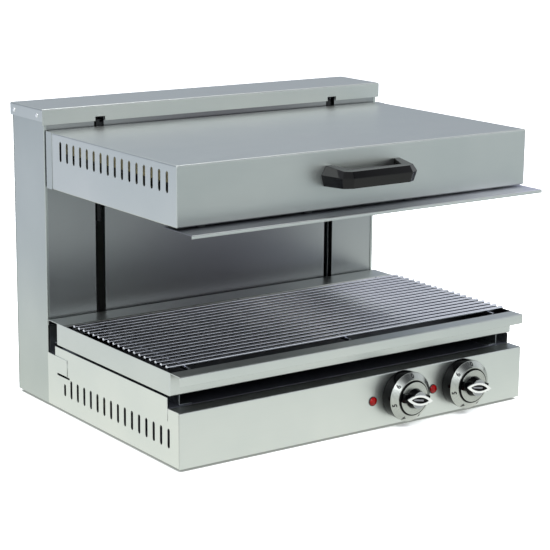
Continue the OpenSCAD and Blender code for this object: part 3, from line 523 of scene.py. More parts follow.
def modify(piece: Piece, kind: str, **settings: Any) -> Piece:
    """Add one modifier and apply it.

    Args:
        piece: the piece.
        kind: the modifier's type.
        **settings: the modifier's settings.

    Returns:
        The same piece.
    """
    take(piece)
    added = piece.modifiers.new(kind.lower(), kind)
    for key, value in settings.items():
        setattr(added, key, value)
    bpy.ops.object.modifier_apply(modifier=added.name)
    return piece


def settle(piece: Piece) -> Piece:
    """Move a piece's place, turn and size into its mesh.

    Args:
        piece: the piece.

    Returns:
        The same piece.
    """
    take(piece)
    bpy.ops.object.transform_apply(location=True, rotation=True, scale=True)
    return piece


def smooth(piece: Piece, degrees: float = 40.0) -> Piece:
    """Shade a piece smoothly up to an angle.

    Args:
        piece: the piece.
        degrees: edges sharper than this stay sharp.

    Returns:
        The same piece.
    """
    take(piece)
    bpy.ops.object.shade_smooth_by_angle(angle=math.radians(degrees))
    return piece


def block(name: str, low: Triple, high: Triple) -> Piece:
    """Add a box between two corners, in metres.

    Args:
        name: the piece's name.
        low: lowest corner.
        high: highest corner.

    Returns:
        The new piece.
    """
    deselect()
    middle = [(a + b) / 2 for a, b in zip(low, high)]
    bpy.ops.mesh.primitive_cube_add(size=1.0, location=middle)
    piece = bpy.context.active_object
    piece.scale = [b - a for a, b in zip(low, high)]
    piece.name = piece.data.name = name
    return settle(piece)


def turned(name: str, outline: Sequence[Tuple[float, float]], place: Triple, axis: Triple,
           sides: int = 32) -> Piece:
    """Turn an outline around an axis, as on a lathe.

    Args:
        name: the piece's name.
        outline: radius and height along the axis, from one end to the other.
        place: where height 0 lies.
        axis: direction of increasing height.
        sides: number of steps.

    Returns:
        The new piece.
    """
    deselect()
    bpy.ops.mesh.primitive_plane_add(calc_uvs=False)
    piece = bpy.context.active_object
    piece.name = piece.data.name = name
    corners = [Vector((r, 0.0, h)) for r, h in outline]

    def lathe() -> None:
        """Draw the outline from the plane's middle, spin it and close its seam."""
        bpy.ops.mesh.merge(type="CENTER")
        bpy.ops.transform.translate(value=corners[0])
        for last, corner in zip(corners, corners[1:]):
            bpy.ops.mesh.extrude_region_move(TRANSFORM_OT_translate={"value": corner - last})
        bpy.ops.mesh.select_all(action="SELECT")
        bpy.ops.mesh.spin(steps=sides, angle=2 * math.pi, center=(0, 0, 0), axis=(0, 0, 1))
        bpy.ops.mesh.select_all(action="SELECT")
        bpy.ops.mesh.remove_doubles(threshold=0.001 * MM)
        bpy.ops.mesh.normals_make_consistent(inside=False)

    edit(piece, lathe)
    piece.rotation_mode = "QUATERNION"
    piece.rotation_quaternion = Vector(axis).to_track_quat("Z", "Y")
    piece.location = place
    return settle(piece)


def cut(piece: Piece, *tools: Piece) -> None:
    """Cut one or more tool shapes out of a piece and remove the tools.

    Args:
        piece: the piece.
        *tools: the shapes to cut out.
    """
    for tool in tools:
        modify(piece, "BOOLEAN", operation="DIFFERENCE", solver="EXACT", object=tool)
        bpy.data.objects.remove(tool)


def joined(name: str, parts: Sequence[Piece]) -> Piece:
    """Join parts into one piece.

    Args:
        name: the piece's name.
        parts: the parts, of which the first one stays.

    Returns:
        The joined piece.
    """
    deselect()
    for part in parts:
        part.select_set(True)
    bpy.context.view_layer.objects.active = parts[0]
    if len(parts) > 1:
        bpy.ops.object.join()
    parts[0].name = parts[0].data.name = name
    return parts[0]


def copy_at(piece: Piece, place: Matrix) -> Piece:
    """Copy a piece with a mesh of its own and move the copy's mesh.

    Args:
        piece: the piece.
        place: where the copy's mesh goes.

    Returns:
        The copy.
    """
    twin = piece.copy()
    twin.data = piece.data.copy()
    bpy.context.scene.collection.objects.link(twin)
    twin.data.transform(place)
    return twin


def dress_node(node: str, finish: Finish) -> None:
    """Give a CAD node's own material slots one finish.

    Args:
        node: the CAD node.
        finish: the finish.
    """
    for slot in frame["nodes"][node].material_slots:
        slot.material = finish.material()


def place_piece(piece: Piece, body: str, finish: Finish, slot: str, *nodes: str) -> Piece:
    """Dress a piece, let it ride on a body and stand for nodes.

    Args:
        piece: the piece.
        body: the CAD body that carries it.
        finish: its finish.
        slot: the record's material slot; not used.
        *nodes: CAD nodes that it stands for.

    Returns:
        The same piece.
    """
    piece.data.materials.clear()
    piece.data.materials.append(finish.material())
    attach(piece, body)
    if nodes:
        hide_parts(*nodes)
    log.info("%s rides on %s, %d faces", piece.name, body, len(piece.data.polygons))
    return piece


def repaint(piece: Piece, finish: Finish, wanted: Callable[[Vector, Vector], bool]) -> None:
    """Give some faces of a dressed piece a second finish.

    Args:
        piece: the dressed piece.
        finish: the second finish.
        wanted: tells from a face's centre and normal whether it gets the finish.
    """
    piece.data.materials.append(finish.material())
    for face in piece.data.polygons:
        if wanted(face.center, face.normal):
            face.material_index = 1


@dataclass(frozen=True)
class SheetShop:
    """Rounds the bends and breaks the cut edges of sheet-metal parts.

    Attributes:
        bend: outer radius of a bend.
        sheet: thickness of the sheet.
        cut_edge: width of the broken edge where the sheet is cut.
        weld: corners closer than this become one.
        flat: faces that differ by fewer degrees are one face.
        fold: edges flatter than this, in degrees, aren't bends.
        shortest: edges shorter than this stay sharp.
        touch: how far a face may lie from a point that counts as on it.
    """

    bend: float = 2.2 * MM
    sheet: float = 1.0 * MM
    cut_edge: float = 0.22 * MM
    weld: float = 0.002 * MM
    flat: float = 0.6
    fold: float = 30.0
    shortest: float = 2.5 * MM
    touch: float = 0.02 * MM

    def _clean_copy(self, node: str) -> Piece:
        """Copy a CAD part as a clean mesh with flat faces.

        Args:
            node: the CAD node.

        Returns:
            The copy.
        """
        piece = bpy.data.objects.new(node + "_formed", frame["nodes"][node].data.copy())
        bpy.context.scene.collection.objects.link(piece)
        piece.data.name = piece.name
        take(piece)
        if piece.data.has_custom_normals:
            bpy.ops.mesh.customdata_custom_splitnormals_clear()

        def merge() -> None:
            """Weld the loose triangles and join the flat ones."""
            bpy.ops.mesh.remove_doubles(threshold=self.weld)
            bpy.ops.mesh.dissolve_limited(angle_limit=math.radians(self.flat))

        edit(piece, merge)
        return piece

    def _reaches(self, surface: BVHTree, loop: bmesh.types.BMLoop) -> bool:
        """Say whether a face goes on for more than a cut edge's width beside an edge.

        Args:
            surface: the part's surface.
            loop: the edge's corner in the face.

        Returns:
            False where the face is only as wide as the sheet is thick.
        """
        start, end = loop.vert.co, loop.link_loop_next.vert.co
        inward = loop.face.normal.cross(end - start).normalized()
        level = 0.99
        for share in (0.2, 0.5, 0.8):
            spot = start.lerp(end, share) + inward * 1.5 * self.sheet
            _, normal, _, gap = surface.find_nearest(spot)
            if gap > self.touch or normal.dot(loop.face.normal) < level:
                return False
        return True

    def _weigh(self, piece: Piece) -> None:
        """Set how wide each edge is rounded.

        Args:
            piece: the clean copy.
        """
        inner = (self.bend - self.sheet) / self.bend
        work = bmesh.new()
        work.from_mesh(piece.data)
        surface = BVHTree.FromBMesh(work)
        layer = work.edges.layers.float.get("bevel_weight_edge") \
            or work.edges.layers.float.new("bevel_weight_edge")
        for edge in work.edges:
            if len(edge.link_faces) != 2 or edge.calc_length() < self.shortest:
                continue
            if abs(edge.calc_face_angle_signed(0.0)) < math.radians(self.fold):
                continue
            if not all(self._reaches(surface, loop) for loop in edge.link_loops):
                edge[layer] = self.cut_edge / self.bend
            else:
                edge[layer] = 1.0 if edge.is_convex else inner
        work.to_mesh(piece.data)
        work.free()

    def _bevelled(self, piece: Piece, **settings: Any) -> Piece:
        """Bevel a piece's edges and shade it so that its flat faces stay flat.

        Args:
            piece: the clean copy.
            **settings: the bevel's settings.

        Returns:
            The same piece.
        """
        modify(piece, "BEVEL", **settings)
        take(piece)
        bpy.ops.object.shade_smooth()
        return modify(piece, "WEIGHTED_NORMAL", weight=100, keep_sharp=False)

    def form(self, node: str) -> Piece:
        """Make the formed copy of a sheet part.

        Args:
            node: the CAD node.

        Returns:
            The new piece.
        """
        piece = self._clean_copy(node)
        self._weigh(piece)
        return self._bevelled(piece, width=self.bend, segments=3, limit_method="WEIGHT",
                              use_clamp_overlap=False, miter_outer="MITER_SHARP",
                              loop_slide=False)

    def ease(self, node: str, width: float, segments: int = 2, degrees: float = 34.0) -> Piece:
        """Copy a moulded or machined part and ease all its edges evenly.

        Args:
            node: the CAD node.
            width: width of the eased edge.
            segments: steps across it.
            degrees: edges flatter than this stay as they are.

        Returns:
            The new piece.
        """
        return self._bevelled(self._clean_copy(node), width=width, segments=segments,
                              limit_method="ANGLE", angle_limit=math.radians(degrees),
                              use_clamp_overlap=True)


@dataclass(frozen=True)
class Fastener:
    """Pan-head screws and domed rivets, modelled once and copied.

    Attributes:
        head_r: radius of the head.
        head_h: height of the head.
        shank_r: radius of the shank.
        shank_l: length of the shank.
        cross: whether the head has a cross recess.
        turn: turn of the first fastener, in degrees.
        turn_step: how much further each next one is turned.
    """

    head_r: float
    head_h: float
    shank_r: float
    shank_l: float
    cross: bool = True
    turn: float = 23.0
    turn_step: float = 41.0

    def model(self, name: str) -> Piece:
        """Model one fastener with its head on +Z over the origin.

        Args:
            name: the piece's name.

        Returns:
            The new piece.
        """
        r, h = self.head_r, self.head_h
        outline = [(0.0, h), (0.45 * r, 0.97 * h), (0.75 * r, 0.82 * h), (0.94 * r, 0.5 * h),
                   (r, 0.18 * h), (0.98 * r, 0.0), (self.shank_r, 0.0),
                   (self.shank_r, -self.shank_l + 0.4 * self.shank_r),
                   (0.6 * self.shank_r, -self.shank_l), (0.0, -self.shank_l)]
        piece = turned(name, outline, (0, 0, 0), (0, 0, 1), 24)
        if self.cross:
            a, b = 0.55 * r, 0.13 * r
            cut(piece, block("slot_a", (-a, -b, 0.4 * h), (a, b, 2 * h)),
                block("slot_b", (-b, -a, 0.4 * h), (b, a, 2 * h)))
        return smooth(piece, 38)

    def row(self, name: str, places: Iterable[Triple], axis: Triple) -> Piece:
        """Copy the fastener to several places and join the copies.

        Args:
            name: the joined piece's name.
            places: where the underside of each head lies.
            axis: direction in which the heads point.

        Returns:
            The joined piece.
        """
        first = self.model(name)
        aim = Vector(axis).to_track_quat("Z", "Y").to_matrix().to_4x4()
        made: List[Piece] = []
        for i, place in enumerate(places):
            twist = Matrix.Rotation(math.radians(self.turn + self.turn_step * i), 4, "Z")
            made.append(copy_at(first, Matrix.Translation(place) @ aim @ twist))
        bpy.data.objects.remove(first)
        return joined(name, made)


def loose_centres(node: str, axes: Tuple[int, int], span: float) -> List[Vector]:
    """Middles of a node's separate copies, grouped by their place across two axes.

    Args:
        node: the CAD node.
        axes: the two axes to group by.
        span: copies closer than this count as one.

    Returns:
        The middle of each copy's box.
    """
    groups: List[List[Vector]] = []
    for vertex in frame["nodes"][node].data.vertices:
        spot = vertex.co
        for group in groups:
            if all(abs(group[0][a] - spot[a]) < span for a in axes):
                group.append(spot)
                break
        else:
            groups.append([spot])
    return [Vector([(min(v[i] for v in g) + max(v[i] for v in g)) / 2 for i in range(3)])
            for g in groups]


@dataclass
class Assembly:
    """Pieces that ride on one body.

    Attributes:
        body: the CAD body that carries them.
        shop: shapes the edges of their copies.
    """

    body: str
    shop: ClassVar[SheetShop] = SheetShop()

    def formed(self, node: str, finish: Finish, slot: str) -> Piece:
        """Put a formed sheet part in its CAD node's place.

        Args:
            node: the CAD node.
            finish: its finish.
            slot: the record's material slot.

        Returns:
            The new piece.
        """
        return place_piece(self.shop.form(node), self.body, finish, slot, node)

    def eased(self, node: str, finish: Finish, slot: str, width: float, segments: int = 2,
              degrees: float = 34.0) -> Piece:
        """Put a moulded or machined part with eased edges in its CAD node's place.

        Args:
            node: the CAD node.
            finish: its finish.
            slot: the record's material slot.
            width: width of the eased edge.
            segments: steps across it.
            degrees: edges flatter than this stay as they are.

        Returns:
            The new piece.
        """
        piece = self.shop.ease(node, width, segments, degrees)
        return place_piece(piece, self.body, finish, slot, node)

    def fastened(self, node: str, fastener: Fastener, places: Iterable[Triple],
                 axis: Triple) -> None:
        """Put modelled screws in their CAD node's place.

        Args:
            node: the CAD node.
            fastener: one of the screws.
            places: where the underside of each head lies.
            axis: direction in which the heads point.
        """
        place_piece(fastener.row(node + "_modelled", places, axis), self.body, BRIGHT_STEEL,
                    "bright_steel", node)


@dataclass
class Stand(Assembly):
    """Base, column and all that stands still.

    Attributes:
        cover_screw: one of the screws of the rear cover.
        rivet: one of the rivets of the cap.
        rivet_seat: how deep a rivet's seat lies behind the end of its CAD head.
        apart: least distance between two screws or rivets.
    """

    cover_screw: Fastener = Fastener(head_r=3.6 * MM, head_h=2.0 * MM, shank_r=1.9 * MM,
                                     shank_l=1.4 * MM)
    rivet: Fastener = Fastener(head_r=3.2 * MM, head_h=1.7 * MM, shank_r=1.5 * MM,
                               shank_l=3.0 * MM, cross=False)
    rivet_seat: float = 1.2 * MM
    apart: float = 9 * MM

    def build(self) -> None:
        """Dress the sheets, the small parts, the lamps' bezels and the fasteners."""
        self.sheets()
        self.small_parts()
        for side in SIDES:
            self.lamp_bezel(side)
        self.fasteners()

    def sheets(self) -> None:
        """Form the sheet parts that show their bends."""
        # The splash back's finish carries painted shade, darkest in the middle.
        for node, finish in (
                ("base_shell", STAINLESS_Y), ("control_panel", STAINLESS_X),
                ("column_side_left", STAINLESS_Z), ("column_side_right", STAINLESS_Z),
                ("splash_back", STAINLESS_SPLASH_PAINTED_SHADE), ("top_cap", STAINLESS_X),
                ("joint_plates", STAINLESS_Y), ("rear_cover", STAINLESS_X)):
            self.formed(node, finish, "stainless")
        self.formed("base_cover", ZINC_BLUE, "zinc_steel")
        for node in ("tray_runner_left", "tray_runner_right", "rail_bracket",
                     "guide_rail_left", "guide_rail_right"):
            self.formed(node, ZINC, "zinc_steel")

    def small_parts(self) -> None:
        """Dress the moulded and turned parts, by the width of their eased edges."""
        for node, finish, slot, width in (
                ("rubber_feet", RUBBER, "rubber", 0.8 * MM),
                ("cable_gland", POLYAMIDE_BLACK, "black_plastic", 0.5 * MM),
                ("terminal_block", MELAMINE, "cream_plastic", 0.6 * MM)):
            self.eased(node, finish, slot, width)
        for stem, finish, slot, width in (
                ("regulator_", MELAMINE, "cream_plastic", 0.8 * MM),
                ("pilot_body_", POLYAMIDE_BLACK, "black_plastic", 0.3 * MM),
                ("pilot_lens_", LENS_RED, "red_lens", 0.25 * MM),
                ("spring_cylinder_", SPRING_PAINT, "spring_paint", 0.5 * MM)):
            for side in SIDES:
                self.eased(stem + side, finish, slot, width)

    def lamp_bezel(self, side: str) -> None:
        """Thin black ring that frames a pilot lens.

        Args:
            side: left or right.
        """
        low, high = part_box("pilot_lens_" + side)
        spot = (low + high) / 2
        r = (high.x - low.x) / 2
        # Section of the ring in millimetres: outwards from the lens, forwards from its back.
        section = ((0.05, 0.0), (0.05, 1.0), (0.35, 1.35), (0.8, 1.1), (1.0, 0.0), (0.05, 0.0))
        ring = turned("pilot_bezel_" + side, [(r + out * MM, on * MM) for out, on in section],
                      (spot.x, high.y, spot.z), (0, -1, 0), 40)
        place_piece(smooth(ring), self.body, POLYAMIDE_BLACK, "black_plastic")

    def fasteners(self) -> None:
        """Model the screws of the rear cover and the rivets of the cap."""
        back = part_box("rear_cover_screws")[1].y - self.cover_screw.head_h
        spots = loose_centres("rear_cover_screws", (0, 2), self.apart)
        self.fastened("rear_cover_screws", self.cover_screw, [(c.x, back, c.z) for c in spots],
                      (0, 1, 0))
        low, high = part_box("cap_rivets")
        spots = loose_centres("cap_rivets", (0, 1), self.apart)
        rows = [self.rivet.row(name, [(seat, c.y, c.z) for c in spots if c.x * out > 0],
                               (out, 0, 0))
                for name, out, seat in (("rivets_l", -1, low.x + self.rivet_seat),
                                        ("rivets_r", 1, high.x - self.rivet_seat))]
        place_piece(joined("cap_rivets_modelled", rows), self.body, RIVET_METAL, "bright_steel",
                    "cap_rivets")


@dataclass
class Hood(Assembly):
    """Lifting hood with its heater, handle and visor.

    Attributes:
        visor_seat: how high a visor screw's seat lies above the end of its CAD head.
        visor_short: how much shorter its shank is than the CAD screw.
        handle_seat: how far a handle screw's seat lies in front of the end of its CAD head.
        bead_l: length of a heater's bead.
        bead_over: how far a bead reaches over the heater's end.
        wool_inset: how far the felted slab stays inside the CAD slab.
    """

    visor_seat: float = 2.2 * MM
    visor_short: float = 2.4 * MM
    handle_seat: float = 3.0 * MM
    bead_l: float = 4.2 * MM
    bead_over: float = 1.5 * MM
    wool_inset: float = 0.6 * MM

    def build(self) -> None:
        """Dress the hood's parts."""
        self.formed("hood_shell", STAINLESS_X, "stainless")
        self.formed("hood_rear_panel", STAINLESS_Z, "stainless")
        visor = self.formed("visor", STAINLESS_VISOR_PAINTED_SHADE, "stainless")
        # The visor's finish carries painted shade and a painted highlight; faces towards the front
        # keep the plain sheet.
        forwards = -0.4
        repaint(visor, STAINLESS_X, lambda spot, out: out.y < forwards)
        self.eased("lift_carriage", PHOSPHATE, "zinc_steel", 0.6 * MM)
        self.formed("reflector", ALUMINISED, "reflector_steel")
        self.eased("element_brackets", BRIGHT_STEEL, "bright_steel", 0.2 * MM)
        for side in SIDES:
            dress_node("element_" + side, SHEATH)
            self.eased("spring_rod_" + side, NICKEL_WIRE, "bright_steel", 0.3 * MM)
            self.heater_ends(side)
        self.wool()
        self.handle()
        self.fasteners()

    def heater_ends(self, side: str) -> None:
        """Steatite bead and threaded pin on each end of a heating tube.

        Args:
            side: left or right.
        """
        low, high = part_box("element_" + side)
        r = (high.z - low.z) / 2
        z = (low.z + high.z) / 2
        bead = [(0.0, 0.0), (r + 1.2 * MM, 0.0), (r + 1.6 * MM, 0.6 * MM),
                (r + 1.6 * MM, self.bead_l - 0.8 * MM), (r + 0.4 * MM, self.bead_l),
                (0.0, self.bead_l)]
        pin_r, nut_r, end_r = 1.6 * MM, 2.9 * MM, 1.2 * MM
        pin = [(0.0, 0.0), (pin_r, 0.0), (pin_r, 2.0 * MM), (nut_r, 2.0 * MM),
               (nut_r, 3.6 * MM), (pin_r, 3.6 * MM), (pin_r, 5.0 * MM), (end_r, 5.5 * MM),
               (0.0, 5.5 * MM)]
        bead_y = high.y - self.bead_over
        pin_y = bead_y + self.bead_l - 0.1 * MM
        for name, outline, y, sides, finish, slot in (
                ("heater_beads_", bead, bead_y, 24, STEATITE, "cream_plastic"),
                ("heater_pins_", pin, pin_y, 16, BRIGHT_STEEL, "bright_steel")):
            ends = [turned(name, outline, (x, y, z), (0, 1, 0), sides)
                    for x in (low.x + r, high.x - r)]
            place_piece(smooth(joined(name + side, ends)), self.body, finish, slot)

    def wool(self) -> None:
        """Insulation slab with a slightly uneven fibrous surface."""
        low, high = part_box("insulation_slab")
        inset = self.wool_inset
        slab = block("insulation_slab_felted", (low.x + inset, low.y + inset, low.z),
                     (high.x - inset, high.y - inset, high.z - inset))
        edit(slab, lambda: bpy.ops.mesh.subdivide(number_cuts=40))
        texture = bpy.data.textures.new("felting", "CLOUDS")
        texture.noise_scale = 18.0 * MM
        modify(slab, "DISPLACE", texture=texture, strength=1.0 * MM, mid_level=0.5,
               texture_coords="LOCAL")
        place_piece(smooth(slab, 60), self.body, MINERAL_WOOL, "mineral_wool", "insulation_slab")

    def handle(self) -> None:
        """Moulded bow handle with soft edges."""
        self.eased("handle", PHENOLIC_POLISHED, "black_plastic", 1.6 * MM, segments=4, degrees=24.0)

    def fasteners(self) -> None:
        """Screws of the visor, the handle and the carriage."""
        low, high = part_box("visor_screws")
        seat = low.z + self.visor_seat
        screw = Fastener(head_r=3.8 * MM, head_h=2.2 * MM, shank_r=1.95 * MM,
                         shank_l=high.z - low.z - self.visor_short)
        spots = loose_centres("visor_screws", (0, 1), 12 * MM)
        self.fastened("visor_screws", screw, [(c.x, c.y, seat) for c in spots], (0, 0, -1))
        low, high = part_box("handle_screws")
        seat = high.y - self.handle_seat
        screw = Fastener(head_r=4.5 * MM, head_h=3.0 * MM, shank_r=2.4 * MM, shank_l=seat - low.y)
        spots = loose_centres("handle_screws", (0, 2), 14 * MM)
        self.fastened("handle_screws", screw, [(c.x, seat, c.z) for c in spots], (0, 1, 0))
        self.eased("carriage_bolts", BRIGHT_STEEL, "bright_steel", 0.4 * MM)


@dataclass
class Roller(Assembly):
    """One of the rollers that guide the hood in its rails.

    Attributes:
        node: the roller's CAD node.
    """

    node: str

    def build(self) -> None:
        """Ease the roller's rims."""
        self.eased(self.node, POLYAMIDE_NATURAL, "nylon", 0.9 * MM, segments=3)


@dataclass
class Knob(Assembly):
    """Energy regulator knob with its silver scale.

    Attributes:
        side: left or right.
        digit_h: height of a digit.
        type_size: size of the type for each unit of a digit's height.
        ink: how far the ink stands out on each side of its middle.
        bold: how much the type's strokes are thickened.
        step: angle between two digits, in degrees.
        turn: angle of the grip from level, in degrees.
        hub_step: how far the cap's hub lies behind its rim.
        slope_in: distance from the dial's rim to the inner edge of its slope.
        slope_out: distance from the dial's rim to the outer edge of its slope.
        slope_rise: how far the slope rises to the front.
    """

    side: str
    digit_h: float = 7.2 * MM
    type_size: float = 1.32
    ink: float = 0.05 * MM
    bold: float = 0.4 * MM
    step: float = 360.0 / 7
    turn: float = 11.0
    hub_step: float = 0.8 * MM
    slope_in: float = 8.8 * MM
    slope_out: float = 0.4 * MM
    slope_rise: float = 7.0 * MM

    def build(self) -> None:
        """Dress the knob and print its scale."""
        side = self.side
        low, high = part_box("knob_disc_" + side)
        centre = (low + high) / 2
        foil = SpunFoil("aluminium_foil_spun_" + side, "B2B6B2", "A4A8A4", centre=tuple(centre))
        self.eased("knob_" + side, PHENOLIC, "black_plastic", 0.45 * MM, degrees=30.0)
        self.eased("dial_" + side, foil, "silver_trim", 0.3 * MM, degrees=12.0)
        self.eased("knob_disc_" + side, foil, "silver_trim", 0.2 * MM)
        cap = self.eased("knob_cap_" + side, CHROME_CAP, "silver_trim", 0.3 * MM, segments=3)
        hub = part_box("knob_cap_" + side)[0].y + 0.6 * self.hub_step
        # The hub's darker grey is painted shade in the recess; its higher roughness is the satin.
        repaint(cap, CHROME_SATIN_SHADED, lambda spot, out: out.y < -0.9 and spot.y > hub)
        dress_node("spindle_" + side, BRIGHT_STEEL)
        self.digits(centre)
        self.pointer(centre)

    def digits(self, centre: Vector) -> None:
        """Print the digits 0 to 6 on the sloping ring.

        Args:
            centre: middle of the inner disc, on the knob's axis.
        """
        low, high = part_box("dial_" + self.side)
        outer = (high.x - low.x) / 2
        inner = outer - self.slope_in
        run = self.slope_in - self.slope_out
        slope = math.atan2(self.slope_rise, run)
        radius = (outer + inner) / 2
        middle = Vector((centre.x, low.y + self.slope_rise * (radius - inner) / run, centre.z))
        made: List[Piece] = []
        for number in range(7):
            angle = math.radians(number * self.step)
            out = Vector((math.sin(angle), 0.0, math.cos(angle)))
            face = Vector((0, -1, 0)) * math.cos(slope) + out * math.sin(slope)
            up = out * math.cos(slope) + Vector((0, 1, 0)) * math.sin(slope)
            turn = Matrix((up.cross(face), up, face)).transposed().to_4x4()
            made.append(self.digit(number, Matrix.Translation(
                middle + out * radius + face * 0.02 * MM) @ turn))
        place_piece(joined("scale_digits_" + self.side, made), self.body, INK_BLACK,
                    "black_plastic")

    def digit(self, number: int, place: Matrix) -> Piece:
        """Print one digit.

        Args:
            number: the digit.
            place: its middle and its turn.

        Returns:
            The digit as a mesh.
        """
        deselect()
        bpy.ops.object.text_add()
        text = bpy.context.active_object
        text.data.body = str(number)
        text.data.align_x = text.data.align_y = "CENTER"
        text.data.size = self.digit_h * self.type_size
        text.data.extrude = self.ink
        text.data.offset = self.bold
        text.data.resolution_u = 4
        text.matrix_world = place
        bpy.context.view_layer.update()
        take(text)
        bpy.ops.object.convert(target="MESH")
        return settle(bpy.context.active_object)

    def pointer(self, centre: Vector) -> None:
        """Grey bar in the window of the cap.

        Args:
            centre: middle of the inner disc, on the knob's axis.
        """
        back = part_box("knob_cap_" + self.side)[1].y
        bar = block("pointer_line_" + self.side, (-10.5 * MM, -0.5 * MM, -1.2 * MM),
                    (7.5 * MM, 0.1 * MM, 1.2 * MM))
        modify(bar, "BEVEL", width=0.35 * MM, segments=3, limit_method="NONE")
        bar.data.transform(Matrix.Translation((centre.x, back, centre.z))
                           @ Matrix.Rotation(math.radians(self.turn), 4, "Y"))
        place_piece(smooth(bar), self.body, LACQUER_GREY, "silver_trim")


@dataclass
class Tray(Assembly):
    """Drip tray with the ledges that carry the grid.

    Attributes:
        clean_rim: height of the strip below the tray's rim that keeps the plain finish, without
            painted shade.
    """

    clean_rim: float = 3.0 * MM

    def build(self) -> None:
        """Form the tray, paint shade inside and under it, and dress the ledges."""
        low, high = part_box("drip_tray")
        tray = self.formed("drip_tray", STAINLESS_X, "stainless")
        middle, rim = (low + high) / 2, high.z - self.clean_rim

        # Faces inside the tray and under it get the darker steel as painted shade.
        def greasy(spot: Vector, out: Vector) -> bool:
            """Whether a face lies inside the tray or under it."""
            inwards = out.xy.dot((spot - middle).xy) < -0.05
            return spot.z < rim and (abs(out.z) > 0.5 or inwards)

        repaint(tray, STAINLESS_PAINTED_SHADE, greasy)
        self.eased("grid_ledges", STAINLESS_X, "zinc_steel", 0.3 * MM)


@dataclass
class Grid(Assembly):
    """Wire grid that lies in the tray.

    Attributes:
        wire_d: thickness of a grid wire.
    """

    wire_d: float = 5.0 * MM

    def build(self) -> None:
        """Round the wires' ends and give the lower cross wires painted shade."""
        grid = self.eased("grill_grid", NICKEL_WIRE, "bright_steel", 1.0 * MM, segments=3,
                          degrees=50.0)
        low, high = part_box("grill_grid")
        under, tips = high.z - self.wire_d, low.y + 2 * self.wire_d
        # The lower cross wires get the darker steel as painted shade.
        repaint(grid, STAINLESS_PAINTED_SHADE,
                lambda spot, out: abs(out.x) > 0.2 and spot.z < under and spot.y > tips)


